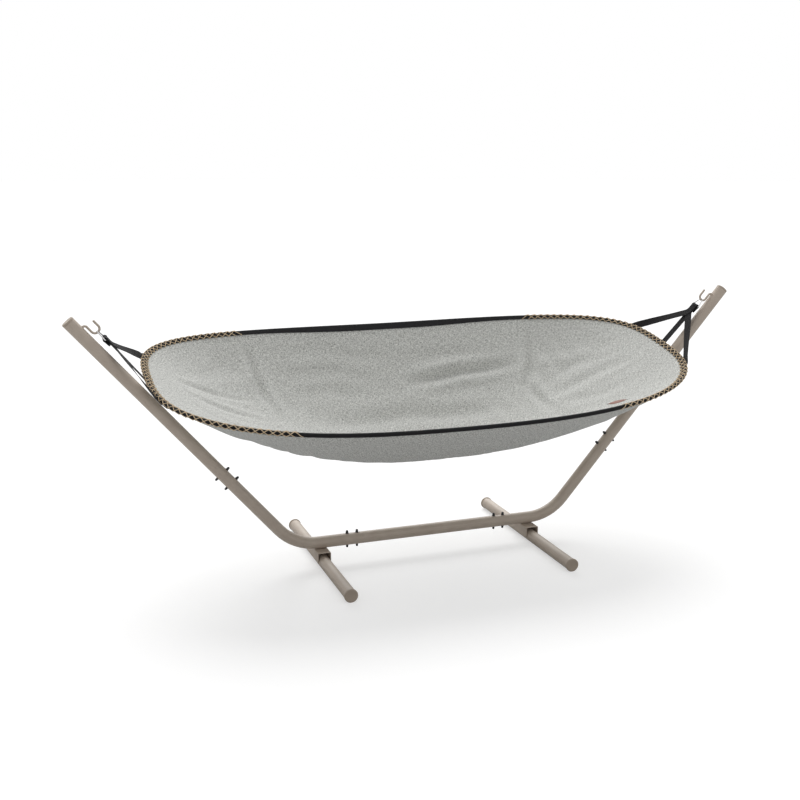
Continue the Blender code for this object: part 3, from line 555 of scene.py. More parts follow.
# %% Bolts and cap nuts
CORNER_X = 0.704
CENTRE_BOLTS = (0.379, 0.431)
ARM_BOLTS = (0.534, 0.467)
FIT = 0.0003
BOLT_RADIUS = 0.004
BOLT_STICK_OUT = 0.009
CAP_FLANGE_RADIUS = 0.0085
CAP_FLANGE_HEIGHT = 0.0022
CAP_BODY_RADIUS = 0.0068
CAP_HEIGHT = 0.0165
HEAD_RADIUS = 0.0065
HEAD_HEIGHT = 0.0145
CAP_BORE_DEPTH = 0.0105
LIP = 0.0006
WAIST_SHARE = 0.62
DOME_SHARE = 0.94
DOME_STEP = 15
CHAMFER = 0.0008
ROUND_STEPS = 28
corner = Vector((CORNER_X, 0, SPINE_HEIGHT))


def bell(radius, flange, flange_height, height):
    """Profile of a moulded cover from its flange's foot up to its tip on the axis."""
    waist = WAIST_SHARE * height
    edge = arc(LIP, 0, 90, 3, (flange - LIP, flange_height - LIP))
    throat = arc(LIP, 270, 180, 3, (radius + LIP, flange_height + LIP))
    dome = [(DOME_SHARE * radius * math.cos(math.radians(a)),
             waist + (height - waist) * math.sin(math.radians(a))) for a in range(0, 90, DOME_STEP)]
    return [(flange, 0.0)] + edge + throat + dome + [(0.0, height)]


seat = TUBE_RADIUS + FIT
cover = [(r, seat + h) for r, h in bell(CAP_BODY_RADIUS, CAP_FLANGE_RADIUS, CAP_FLANGE_HEIGHT, CAP_HEIGHT)]
bore = [(0.0, seat + CAP_BORE_DEPTH), (BOLT_RADIUS + FIT, seat + CAP_BORE_DEPTH), (BOLT_RADIUS + FIT, seat)]
neck = DOME_SHARE * HEAD_RADIUS
head = [(r, -seat - h) for r, h in bell(neck, HEAD_RADIUS, CAP_FLANGE_HEIGHT, HEAD_HEIGHT)]
tip = TUBE_RADIUS + BOLT_STICK_OUT
shaft = [(BOLT_RADIUS, -seat), (BOLT_RADIUS, tip - CHAMFER), (BOLT_RADIUS - CHAMFER, tip), (0.0, tip)]
places = [(f"centre_{n}", Vector((x, 0, SPINE_HEIGHT)), Vector((0, 0, 1)))
          for n, x in enumerate(CENTRE_BOLTS, 1)]
places += [(f"arm_{n}", corner + d * ALONG_ARM, ACROSS_ARM) for n, d in enumerate(ARM_BOLTS, 1)]
for side, _, turn in SIDES:
    for label, centre, way in places:
        spot = stand_place @ turn @ facing(centre, way)
        add_piece(f"cap_cover_{label}_{side}", turned(bore + cover, ROUND_STEPS), black_plastic,
                  "stand", [f"cap_nut_{label}_{side}"], place=spot)
        add_piece(f"bolt_cover_{label}_{side}", turned(head[::-1] + shaft, ROUND_STEPS), black_plastic,
                  "stand", [f"bolt_{label}_{side}"], place=spot)
print("bolt covers", 2 * 2 * len(places))

# %% [markdown]
# ### Plugs and foot caps
# The top of each arm is closed by a plug as wide as the tube. Each end of a foot has a wider flanged cap
# that stands on the floor, where it is worn flat. Their edges are rounded, since moulded parts never have
# sharp ones, and a shallow dish in the face catches the light.

# %% Arm plugs
ARM_LENGTH = 1.557
PLUG_RIM = 0.010
PLUG_DEPTH = 0.025
PLUG_ROUND = 0.0025
PLUG_CHAMFER = 0.0005
TUBE_WALL = 0.002
LEAD_IN = 0.002
FLAT_SHARE = 0.6
HOLLOW = 0.0001
SPIGOT_RADIUS = TUBE_RADIUS - TUBE_WALL - FIT
CAP_STEPS = 56
arm_top = corner + ARM_LENGTH * ALONG_ARM
plug = [(0.0, -PLUG_DEPTH), (SPIGOT_RADIUS - LEAD_IN, -PLUG_DEPTH), (SPIGOT_RADIUS, LEAD_IN - PLUG_DEPTH),
        (SPIGOT_RADIUS, 0.0), (TUBE_RADIUS - PLUG_CHAMFER, 0.0), (TUBE_RADIUS, PLUG_CHAMFER)]
plug += arc(PLUG_ROUND, 0, 90, 6, (TUBE_RADIUS - PLUG_ROUND, PLUG_RIM - PLUG_ROUND))
plug += [(FLAT_SHARE * TUBE_RADIUS, PLUG_RIM - HOLLOW), (0.0, PLUG_RIM)]
for side, _, turn in SIDES:
    spot = stand_place @ turn @ facing(arm_top - PLUG_RIM * ALONG_ARM, ALONG_ARM)
    add_piece(f"arm_end_plug_{side}", turned(plug, CAP_STEPS), plastic, "stand",
              [f"arm_plug_{side}"], place=spot)
print("arm plugs", round(2 * TUBE_RADIUS, 3), "m across")

# %% Foot caps, worn flat beneath
FOOT_CAP_RADIUS = 0.033
FOOT_CAP_THICKNESS = 0.009
FOOT_FLAT_DEPTH = 0.0008
FOOT_HEIGHT = FOOT_CAP_RADIUS - FOOT_FLAT_DEPTH
DISH_RADIUS = 0.022
DISH_DEPTH = 0.0009
DISH_EDGE = 0.001
foot_cap = [(0.0, -PLUG_DEPTH), (SPIGOT_RADIUS, -PLUG_DEPTH), (SPIGOT_RADIUS, 0.0),
            (FOOT_CAP_RADIUS - CHAMFER, 0.0), (FOOT_CAP_RADIUS, CHAMFER)]
foot_cap += arc(PLUG_ROUND, 0, 90, 6, (FOOT_CAP_RADIUS - PLUG_ROUND, FOOT_CAP_THICKNESS - PLUG_ROUND))
foot_cap += [(DISH_RADIUS + out, FOOT_CAP_THICKNESS - share * DISH_DEPTH)
             for out, share in ((DISH_EDGE, 0.0), (0.0, 0.4), (-2 * DISH_EDGE, 1.0), (-DISH_RADIUS, 1.0))]
for side, _, _ in SIDES:
    for end, way in (("far", 1), ("near", -1)):
        node = f"foot_cap_{end}_{side}"
        low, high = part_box(node)
        face = high.y if way > 0 else low.y
        spot = Vector(((low.x + high.x) / 2, face - way * FOOT_CAP_THICKNESS, FOOT_HEIGHT))
        bm = turned(foot_cap, CAP_STEPS)
        bmesh.ops.transform(bm, matrix=facing(spot, Vector((0, way, 0)), Vector((1, 0, 0))), verts=bm.verts)
        cut = bmesh.ops.bisect_plane(bm, geom=[*bm.verts, *bm.edges, *bm.faces], clear_outer=True,
                                     plane_co=(0, 0, 0), plane_no=(0, 0, -1))
        rim_edges = [e for e in cut["geom_cut"] if isinstance(e, bmesh.types.BMEdge)]
        bmesh.ops.holes_fill(bm, edges=rim_edges)
        add_piece(f"foot_end_{end}_{side}", bm, plastic, "stand", [node])
print("foot caps", 2 * FOOT_CAP_RADIUS, "m across")

# %% [markdown]
# ### Saddles
# A saddle is a short strip of steel folded into a channel. Folded steel can't have a sharp outer corner,
# so the channel's outline is drawn square, extruded along the foot, and its long edges are bevelled.

# %% Saddles between the lower tubes and the feet
SADDLE_WALL = 0.003
SADDLE_BEND = 0.0055
for side, _, _ in SIDES:
    low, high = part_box(f"saddle_{side}")
    outline = [(low.x, low.z), (low.x, high.z), (high.x, high.z), (high.x, low.z),
               (high.x - SADDLE_WALL, low.z), (high.x - SADDLE_WALL, high.z - SADDLE_WALL),
               (low.x + SADDLE_WALL, high.z - SADDLE_WALL), (low.x + SADDLE_WALL, low.z)]
    bm = bmesh.new()
    start = bm.faces.new([bm.verts.new((x, low.y, z)) for x, z in outline])
    pulled = bmesh.ops.extrude_face_region(bm, geom=[start])
    moved = [v for v in pulled["geom"] if isinstance(v, bmesh.types.BMVert)]
    bmesh.ops.translate(bm, verts=moved, vec=(0, high.y - low.y, 0))
    for height, width in ((high.z, SADDLE_BEND), (high.z - SADDLE_WALL, SADDLE_BEND - SADDLE_WALL)):
        bends = [e for e in bm.edges if abs(e.verts[0].co.y - e.verts[1].co.y) > SADDLE_WALL
                 and abs(e.verts[0].co.z - height) < FIT]
        bmesh.ops.bevel(bm, geom=bends, offset=width, affect="EDGES", segments=6, profile=0.5, material=-1)
    add_piece(f"saddle_channel_{side}", bm, paint, "stand", [f"saddle_{side}"])
print("saddles made")

# %% [markdown]
# ### Hooks
# A hook is round bar: it leaves the arm square, runs down beside it and turns back up in a U. A route of
# straight runs with an arc at each bend is what a bending jig makes. The free tip is rounded, and a bead
# of weld seats the other end on the arm.

# %% Hooks of bent bar
HOOK_WIRE = 0.0055
HOOK_ROOT_DROP = 0.066
HOOK_INNER_OUT = 0.0435
HOOK_BEND = 0.020
HOOK_BEND_DROP = 0.1085
HOOK_TIP_DROP = 0.0745
WIRE_SIDES = 20
WIRE_BEND_STEPS = 12
TIP_FLAT = 0.02


def rounded_tip(frames, radius, steps=5):
    """Add shrinking frames past the last one, so that a swept bar ends in half a ball."""
    point, side, up = frames[-1]
    way = side.cross(up)
    for k in range(1, steps + 1):
        angle = math.pi / 2 * k / steps
        shrink = max(math.cos(angle), TIP_FLAT)
        frames.append((point + way * radius * math.sin(angle), side * shrink, up * shrink))
    return frames


def arm_point(drop, out):
    return arm_top - drop * ALONG_ARM + out * ACROSS_ARM


outer_out = HOOK_INNER_OUT + 2 * HOOK_BEND
foot_of_hook = HOOK_BEND_DROP + HOOK_BEND
jig = [arm_point(*place) for place in (
    (HOOK_ROOT_DROP, seat), (HOOK_ROOT_DROP, HOOK_INNER_OUT), (foot_of_hook, HOOK_INNER_OUT),
    (foot_of_hook, outer_out), (HOOK_TIP_DROP + HOOK_WIRE, outer_out))]
bends = (HOOK_INNER_OUT - seat - FIT, HOOK_BEND - FIT, HOOK_BEND - FIT)
bar = [jig[0]]
for k, radius in enumerate(bends, 1):
    bar += arc_corner(jig[k - 1], jig[k], jig[k + 1], radius, WIRE_BEND_STEPS)
bar.append(jig[-1])
WELD_OUT = 0.0032
WELD_UP = 0.0030
WELD_DEEP = 0.001
weld = [(HOOK_WIRE + out * WELD_OUT, up * WELD_UP) for out, up in ((0, 1), (0.35, 0.75), (0.75, 0.35))]
weld += [(HOOK_WIRE + WELD_OUT, -WELD_DEEP), (HOOK_WIRE, -WELD_DEEP)]
for side, _, turn in SIDES:
    frames = rounded_tip(carried(bar), HOOK_WIRE)
    bm = swept(frames, circle_section(HOOK_WIRE, WIRE_SIDES))
    bead = turned(weld, ROUND_STEPS, closed=True)
    add_piece(f"hook_weld_{side}", bead, paint, "stand",
              place=stand_place @ turn @ facing(arm_point(HOOK_ROOT_DROP, TUBE_RADIUS), ACROSS_ARM))
    add_piece(f"hook_bar_{side}", bm, paint, "stand", [f"hook_{side}"],
              place=stand_place @ turn)
print("hooks made")

# %% [markdown]
# ## The hammock's rim
# The rim is a superellipse in plan: rounder than a rectangle, fuller than an ellipse. Its ends rise a
# little where the straps pull. The bed is the same outline shrunk towards the middle and let down under
# its own weight, so one formula gives every point of rim and bed.

# %% The rim's outline in plan
RIM_HALF_LENGTH = 1.381
RIM_HALF_WIDTH = 0.678
RIM_SQUARENESS = 2.98
RIM_STEPS = 480


def rim_outline(steps, dense_steps=6000):
    """Even steps along the rim in plan, from the right end by the far side."""
    dense = []
    for k in range(dense_steps + 1):
        angle = math.tau * k / dense_steps
        c, s = math.cos(angle), math.sin(angle)
        power = 2 / RIM_SQUARENESS
        dense.append(Vector((math.copysign(abs(c) ** power, c) * RIM_HALF_LENGTH,
                             math.copysign(abs(s) ** power, s) * RIM_HALF_WIDTH)))
    lengths = lengths_along(dense)
    outline = []
    at = 0
    for k in range(steps):
        wanted = lengths[-1] * k / steps
        while lengths[at + 1] < wanted:
            at += 1
        share = (wanted - lengths[at]) / (lengths[at + 1] - lengths[at])
        outline.append(dense[at].lerp(dense[at + 1], share))
    return outline


plan_of_rim = rim_outline(RIM_STEPS)
print("rim", 2 * RIM_HALF_LENGTH, "by", 2 * RIM_HALF_WIDTH, "m in plan")

# %% The rim and bed as one formula
RIM_DROP = 0.3046
RIM_RISE = 0.0469
RIM_END_RISE = 0.0245
SAG = 0.410
SAG_POWER = 1.8
NEARBY = 0.97
DOWN = Vector((0, -math.sin(ROLL), -math.cos(ROLL)))


def bed_point(plan, share):
    """Middle of the bed's thickness, at a share of the way from its centre to a rim point."""
    ratio = abs(share * plan.x / RIM_HALF_LENGTH)
    height = -RIM_DROP + RIM_RISE * ratio ** 2 + RIM_END_RISE * ratio ** 4
    return Vector((share * plan.x, share * plan.y, height)) + DOWN * SAG * (1 - share ** SAG_POWER)


def rim_frames(outline):
    """For each rim step its point, direction, way into the bed and the bed's upward normal."""
    count = len(outline)
    frames = []
    for k, here in enumerate(outline):
        point = bed_point(here, 1.0)
        along = bed_point(outline[(k + 1) % count], 1.0) - bed_point(outline[k - 1], 1.0)
        along.normalize()
        slope = bed_point(here, NEARBY) - point
        inward = (slope - slope.dot(along) * along).normalized()
        up = inward.cross(along).normalized()
        if up.z < 0:
            up = -up
        frames.append((point, along, inward, up))
    return frames


rim = rim_frames(plan_of_rim)
rim_length = sum((rim[k][0] - rim[k - 1][0]).length for k in range(RIM_STEPS))
print("rim length", round(rim_length, 3), "m")

# %% [markdown]
# ## The bed
# The bed is one padded sheet, cut larger than the rim and held by it all the way round. A flat grid makes
# the sheet: each of its square rings is pushed out to a smaller copy of the rim, then let down to the
# sagged shape. A disc would crowd its faces at the middle, while a grid spreads them evenly.

# %% A grid shaped like the sagged sheet
BED_COLUMNS = 144
BED_ROWS = 72
BED_EDGE_SHARE = 0.992
BED_FILLING = 0.0126


def bed_share(x, y):
    """How far out a place in the plan lies, from 0 at the middle to 1 on the rim."""
    across = abs(x / RIM_HALF_LENGTH) ** RIM_SQUARENESS + abs(y / RIM_HALF_WIDTH) ** RIM_SQUARENESS
    return across ** (1 / RIM_SQUARENESS)


def bed_at(x, y):
    share = bed_share(x, y)
    if share < TINY:
        return bed_point(Vector((0, 0)), 0.0)
    return bed_point(Vector((x, y)) / share, share)


bm = bmesh.new()
bmesh.ops.create_grid(bm, x_segments=BED_COLUMNS, y_segments=BED_ROWS, size=1.0)
plan = {}
for vert in bm.verts:
    u, v = vert.co.x, vert.co.y
    ring = max(abs(u), abs(v))
    if ring > 0:
        x, y = u / ring * RIM_HALF_LENGTH, v / ring * RIM_HALF_WIDTH
        spread = BED_EDGE_SHARE * ring / bed_share(x, y)
        plan[vert] = (x * spread, y * spread)
    else:
        plan[vert] = (0.0, 0.0)
for vert in bm.verts:
    vert.co = hammock_place @ bed_at(*plan[vert])
lay_map(bm, plan)
bmesh.ops.recalc_face_normals(bm, faces=bm.faces)
bm.normal_update()
if sum(face.normal.z for face in bm.faces) < 0:
    bmesh.ops.reverse_faces(bm, faces=bm.faces)
plans = np.array([plan[vert] for vert in bm.verts])
shares = np.array([bed_share(x, y) for x, y in plans])
bed = as_object("padded_bed", bm)
bed_mesh = bed.data
print("bed grid", len(bed_mesh.vertices), "points")

# %% [markdown]
# ### Letting the cloth settle
# Real cloth is a little longer than the way it has to go, so it buckles into soft wrinkles. The Cloth
# modifier finds them: the edge is pinned, the sheet gets spare length, and gravity does the rest. Only
# the wrinkles are kept. The settled sheet minus a blurred copy of itself leaves them without changing
# the overall sag, which the frame has fixed.

# %% Simulate, then keep the wrinkles
SPARE_CLOTH = 0.018
SETTLE_FRAMES = 24
PINNED_SHARE = 0.955
WRINKLE_LIMIT = 0.011
BLUR_STEPS = 26


def settled(piece, frames):
    """Where the piece's points lie after hanging for some frames."""
    pins = piece.vertex_groups.new(name="sewn_edge")
    pins.add([k for k, share in enumerate(shares) if share > PINNED_SHARE], 1.0, "REPLACE")
    cloth_maker = piece.modifiers.new("cloth", "CLOTH")
    rules = cloth_maker.settings
    rules.quality = 6
    rules.mass = 0.35
    rules.tension_stiffness = 25
    rules.compression_stiffness = 25
    rules.shear_stiffness = 6
    rules.bending_stiffness = 0.6
    rules.shrink_min = -SPARE_CLOTH
    rules.vertex_group_mass = pins.name
    cloth_maker.collision_settings.use_collision = False
    for number in range(1, frames + 1):
        scene.frame_set(number)
    shaped = piece.evaluated_get(bpy.context.evaluated_depsgraph_get())
    points = np.array([v.co[:] for v in shaped.data.vertices])
    piece.modifiers.remove(cloth_maker)
    piece.vertex_groups.remove(pins)
    scene.frame_set(1)
    return points


def blurred(field):
    """Average each value of the grid with its neighbours, many times over."""
    for _ in range(BLUR_STEPS):
        edge = np.pad(field, 1, mode="edge")
        field = (edge[1:-1, :-2] + edge[1:-1, 2:] + edge[:-2, 1:-1] + edge[2:, 1:-1]) / 4
    return field


hung = np.array([v.co[:] for v in bed_mesh.vertices])
normals = np.array([v.normal[:] for v in bed_mesh.vertices])
wrinkles = np.zeros(len(hung))
moved = ((settled(bed, SETTLE_FRAMES) - hung) * normals).sum(1)
sheet = moved.reshape(BED_ROWS + 1, BED_COLUMNS + 1)
wrinkles = (sheet - blurred(sheet)).reshape(-1)
wrinkles = WRINKLE_LIMIT * np.tanh(wrinkles / WRINKLE_LIMIT)
print("wrinkles from", round(float(wrinkles.min()), 4), "to", round(float(wrinkles.max()), 4))

# %% [markdown]
# ### Folds from lying in it
# A used hammock also has creases across each end, where the sheet turns up towards the straps, a fan of
# ridges that the straps pull, and long folds down the middle. Each crease is a short route on the plan
# with a given width and depth, and it fades out at both its ends. The sheet is left smooth round the
# leather patch. A Displace modifier could do this from a picture of the folds, but a route can be moved
# by hand.

# %% Routes of the creases and long folds
CREASES = (
    (((-0.79, 0.60), (-0.765, 0.325), (-0.72, 0.22), (-0.70, 0.10)), 0.020, 0.018),
    (((-0.72, 0.02), (-0.76, -0.22), (-0.75, -0.36)), 0.050, 0.003),
    (((0.86, 0.56), (0.80, 0.40), (0.723, 0.276), (0.733, 0.015)), 0.021, 0.019),
    (((0.733, 0.06), (0.77, -0.12), (0.80, -0.30)), 0.035, 0.005),
    (((0.06, 0.415), (0.38, 0.445), (0.70, 0.42)), 0.021, 0.027),
    (((0.02, 0.50), (0.30, 0.535), (0.55, 0.49)), 0.026, 0.006),
    (((-0.66, 0.545), (-0.40, 0.575), (0.05, 0.53)), 0.030, 0.005),
    (((-0.62, 0.455), (-0.35, 0.490), (-0.12, 0.455)), 0.026, 0.007),
    (((-0.58, 0.360), (-0.38, 0.400), (-0.20, 0.370)), 0.030, 0.004),
    (((-0.50, 0.200), (0.05, 0.250), (0.55, 0.180)), 0.040, 0.012),
    (((-1.22, 0.16), (-1.00, 0.20), (-0.80, 0.26)), 0.018, 0.008),
    (((-1.24, 0.05), (-1.00, 0.05), (-0.78, 0.10)), 0.018, 0.009),
    (((-1.20, -0.08), (-0.98, -0.12), (-0.78, -0.10)), 0.022, 0.007),
    (((1.18, 0.24), (1.00, 0.26), (0.82, 0.23)), 0.026, 0.005),
    (((1.24, 0.05), (1.02, 0.11), (0.80, 0.12)), 0.028, 0.006),
    (((1.16, -0.12), (1.00, -0.10), (0.84, -0.01)), 0.030, 0.005),
    (((-0.10, -0.50), (0.25, -0.49), (0.60, -0.50)), 0.030, 0.008),
    (((-0.62, -0.44), (-0.30, -0.46), (-0.02, -0.42)), 0.030, 0.008),
)
print("creases and folds", len(CREASES))

# %% Each crease as a valley between soft ridges
CREASE_END = 0.02
CREASE_TAPER = 0.7
RIDGE_AWAY = 2.1
RIDGE_SHARE = 0.55


def crease(route, width, depth):
    """A valley along a route on the plan, with a softer ridge on each side of it."""
    route = np.array(route)
    reach = np.hypot(*np.diff(route, axis=0).T)
    starts = np.concatenate([[0], np.cumsum(reach)])
    nearest = np.full(len(plans), np.inf)
    along = np.zeros(len(plans))
    for k, length in enumerate(reach):
        way = (route[k + 1] - route[k]) / length
        part = np.clip((plans - route[k]) @ way, 0, length)
        apart = np.hypot(*(plans - route[k] - part[:, None] * way).T)
        closer = apart < nearest
        nearest[closer] = apart[closer]
        along[closer] = (starts[k] + part[closer]) / starts[-1]
    taper = np.sin(np.pi * np.clip(along, CREASE_END, 1 - CREASE_END)) ** CREASE_TAPER
    ridge = np.exp(-((nearest - RIDGE_AWAY * width) / width) ** 2)
    valley = np.exp(-(nearest / width) ** 2) - RIDGE_SHARE * ridge
    return -depth * taper * valley


folds = sum(crease(*one) for one in CREASES)
print("deepest fold", round(float(-folds.min()), 4))

# %% A fan of ridges at each end, and ripples all over
FAN_DEPTH = 0.0070
FAN_RIDGES = 9.0
FAN_LENGTHWISE = 1.3
FAN_START, FAN_FULL = 0.62, 0.95
FAN_SEED = 3.0
RIPPLE_DEPTH = 0.0030
RIPPLES_LENGTHWISE, RIPPLES_ACROSS = 9, 16
RIPPLE_SEED = 7.0
STRAP_START_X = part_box("ring_right")[0].x


def smooth_step(values, low, high):
    part = np.clip((values - low) / (high - low), 0, 1)
    return part * part * (3 - 2 * part)


def fan(x, y):
    """Ridges that spread from the straps of the nearer end."""
    sign = math.copysign(1, x)
    apart_x, apart_y = STRAP_START_X - abs(x), y
    angle = math.atan2(apart_y, apart_x)
    reach = math.hypot(apart_x, apart_y)
    return noise.noise(Vector((angle * FAN_RIDGES, reach * FAN_LENGTHWISE, FAN_SEED + sign)))


fan_part = smooth_step(np.abs(plans[:, 0]), FAN_START, FAN_FULL)
fans = FAN_DEPTH * fan_part * np.array([fan(x, y) for x, y in plans])
ripples = np.array([noise.noise(Vector((x * RIPPLES_LENGTHWISE, y * RIPPLES_ACROSS, RIPPLE_SEED)))
                    for x, y in plans]) * RIPPLE_DEPTH
print("highest fan ridge", round(float(fans.max()), 4), "ripple", round(float(ripples.max()), 4))

# %% Add the folds to the sheet, but not at its edge or round the patch
FADE_START = 0.94
FADE_END = 0.84
PATCH_CLEAR = 0.13
patch_low, patch_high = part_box("leather_patch")
patch_middle = hammock_place.inverted() @ ((patch_low + patch_high) / 2)
beside_patch = 1 - np.exp(-(np.hypot(plans[:, 0] - patch_middle.x, plans[:, 1] - patch_middle.y)
                            / PATCH_CLEAR) ** 2)
shape = wrinkles + folds + fans + ripples
shape *= (1 - smooth_step(shares, FADE_END, FADE_START)) * beside_patch
final = hung + normals * shape[:, None]
bed_mesh.vertices.foreach_set("co", final.astype(np.float32).reshape(-1))
bed_mesh.update()
print("folds from", round(float(shape.min()), 4), "to", round(float(shape.max()), 4))

# %% [markdown]
# ### Padding
# The filling gives the sheet its thickness, so Solidify makes both skins from the middle surface. One
# level of Subdivision Surface then rounds each wrinkle. The thread map came with the grid: metres across
# the plan, so both skins show their yarns at real size.

# %% Thickness, finish and its body
solid = bed.modifiers.new("filling", "SOLIDIFY")
solid.thickness = BED_FILLING
solid.offset = 0.0
smoother = bed.modifiers.new("smooth", "SUBSURF")
smoother.levels = 1
smoother.render_levels = 1
bed_mesh.materials.append(cloth)
bed_mesh.shade_smooth()
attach(bed, "hammock")
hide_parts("bed")
print("bed padded", BED_FILLING * 1000, "mm thick")

# %% [markdown]
# ## Binding
# Black webbing is folded over the edge and holds the rod in its fold. It is short beneath and longer on
# the upper side, most of all along the middle of both sides, and narrower where it is whipped. It is a
# sweep: the folded section goes once round the rim, and its upper leg grows and shrinks on the way. A
# slow wave in its height keeps the long edges from looking machined.

# %% Folded webbing round the whole rim
ROD_RADIUS = 0.005
SLEEVE_WALL = 0.0015
BINDING_THICKNESS = 0.0018
BINDING_INNER = ROD_RADIUS + FIT + SLEEVE_WALL + FIT
BINDING_OUTER = BINDING_INNER + BINDING_THICKNESS
UPPER_LEG = 0.034
UPPER_LEG_AT_ENDS = 0.020
LEG_CHANGE_START = 0.20
LEG_CHANGE_END = 0.78
LOWER_LEG = 0.008
FOLD_STEPS = 12
WAVE_HEIGHT = 0.0005
WAVES = 4
EDGE_ROUND = 0.0006


def leg(reach, height, steps):
    """Pairs along one side of a folded leg, from its edge towards the fold."""
    return [(reach * k / steps, height) for k in range(steps, 0, -1)]


middle = (BINDING_INNER + BINDING_OUTER) / 2
section = leg(UPPER_LEG, BINDING_OUTER, 4) + arc(BINDING_OUTER, 90, 270, FOLD_STEPS)
section += leg(LOWER_LEG, -BINDING_OUTER, 2)[::-1] + [(LOWER_LEG + EDGE_ROUND, -middle)]
section += leg(LOWER_LEG, -BINDING_INNER, 2) + arc(BINDING_INNER, 270, 90, FOLD_STEPS)
section += leg(UPPER_LEG, BINDING_INNER, 4)[::-1] + [(UPPER_LEG + EDGE_ROUND, middle)]
wavy = [(point + up * WAVE_HEIGHT * noise.noise(point * WAVES), inward, up) for point, _, inward, up in rim]


def narrower_at_ends(step, inward_by, up_by):
    """Shorten the upper leg towards both ends of the hammock."""
    if inward_by <= 0 or up_by < 0:
        return inward_by, up_by
    near_end = float(smooth_step(abs(rim[step][0].x), LEG_CHANGE_START, LEG_CHANGE_END))
    reach = UPPER_LEG + (UPPER_LEG_AT_ENDS - UPPER_LEG) * near_end
    return inward_by * reach / UPPER_LEG, up_by


add_piece("edge_binding", swept(wavy, section, closed=True, change=narrower_at_ends), webbing,
          "hammock", ["rim_binding"], smooth_angle=50, place=hammock_place)
refinish(["rim_rod_near", "rim_rod_far"], fibre)
refinish(["rod_sleeve_left", "rod_sleeve_right"], zinc)
print("binding", round(rim_length, 2), "m long")

# %% [markdown]
# ## Whipping at both ends
# Where the straps pull, two beige cords are sewn round the binding in opposite directions. They share
# their holes and cross three times between them, which leaves rows of black pointed ovals. Each cord is
# one route: over the fold to the hole two pitches on, or two pitches back, then hidden in the sheet to
# its next hole. A Screw modifier could wind a helix, but only round a straight line, so the route comes
# from the rim's frames.

# %% Route of one cord through its holes and round the fold
WHIP_RADIUS = 0.0018
UPPER_HOLE = 0.022
LOWER_HOLE = 0.0043
CROSSING_LIFT = 0.0022
CORD_HEIGHT = BINDING_OUTER + 0.7 * WHIP_RADIUS
PITCHES_FORWARD = 2
FOLD_POINTS = 10


def stitch_outline():
    """Places (inward, up, share) of a cord from its upper hole round the fold to its lower hole."""
    spots = [(UPPER_HOLE * part, CORD_HEIGHT) for part in (1, 0.66, 0.33)]
    spots += arc(CORD_HEIGHT, 90, 270, FOLD_POINTS)
    spots += [(LOWER_HOLE * part, -CORD_HEIGHT) for part in (0.6, 1)]
    gone = lengths_along(spots)
    round_fold = [(*spot, length / gone[-1]) for spot, length in zip(spots, gone)]
    return [(UPPER_HOLE, 0.0, 0.0)] + round_fold + [(LOWER_HOLE, 0.0, 1.0)]


def rim_at(length):
    """The rim's point, way in and up at a length along it, between two of its steps."""
    at = length / rim_length * RIM_STEPS
    k = math.floor(at)
    a, b = rim[k % RIM_STEPS], rim[(k + 1) % RIM_STEPS]
    return [a[i].lerp(b[i], at - k) for i in (0, 2, 3)]


def whipping(start, stitches, pitch, way, lift):
    """Route of one cord along the rim. It leans forward or back and rises over the other at crossings."""
    outline = stitch_outline()
    route = []
    for n in range(stitches):
        hole = start + (n if way > 0 else n + PITCHES_FORWARD) * pitch
        for inward_by, up_by, share in outline:
            length = hole + way * PITCHES_FORWARD * share * pitch
            point, inward, up = rim_at(length)
            rise = lift * math.cos(math.tau * PITCHES_FORWARD * share) ** 2
            stretch = 1 + rise / max(math.hypot(inward_by, up_by), WHIP_RADIUS)
            route.append(point + inward * inward_by * stretch + up * up_by * stretch)
    return route


print("a stitch has", len(stitch_outline()), "points")

# %% Two crossed cords at each end
WHIP_PITCH = 0.038
WHIP_SIDES = 6
WHIP_FAR_RIGHT = 0.841
WHIP_NEAR_RIGHT = 0.782
WHIP_FAR_LEFT = -0.810
WHIP_NEAR_LEFT = -0.798


def rim_length_at(x, far):
    """Length along the rim to its place nearest to x on the far or the near side."""
    side = [k for k in range(RIM_STEPS) if (rim[k][0].y > 0) == far]
    nearest = min(side, key=lambda k: abs(rim[k][0].x - x))
    return nearest / RIM_STEPS * rim_length


spans = {"left": (rim_length_at(WHIP_FAR_LEFT, True), rim_length_at(WHIP_NEAR_LEFT, False)),
         "right": (rim_length_at(WHIP_NEAR_RIGHT, False) - rim_length, rim_length_at(WHIP_FAR_RIGHT, True))}
for side, (start, end) in spans.items():
    pitches = round((end - start) / WHIP_PITCH)
    pitch = (end - start) / pitches
    stitches = pitches - PITCHES_FORWARD + 1
    for label, way, lift in (("under", 1, 0.0), ("over", -1, CROSSING_LIFT)):
        route = whipping(start, stitches, pitch, way, lift)
        add_piece(f"whip_cord_{label}_{side}", swept(carried(route), circle_section(WHIP_RADIUS, WHIP_SIDES)),
                  cord, "hammock", smooth_angle=60, place=hammock_place)
    print(side, "whipping", stitches, "stitches of", round(pitch * 1000, 1), "mm")

# %% [markdown]
# ## Rings and straps
# At each end a ring of bright wire, bent to a triangle, hangs in the hook. Three straps of ribbed webbing
# loop round its long bar, one over another, and fan out to the rim. Each strap turns so that it lies flat
# on the binding. A strap is a sweep of a thin section with softened edges, and at each point of its route
# it has a side and a normal of its own.

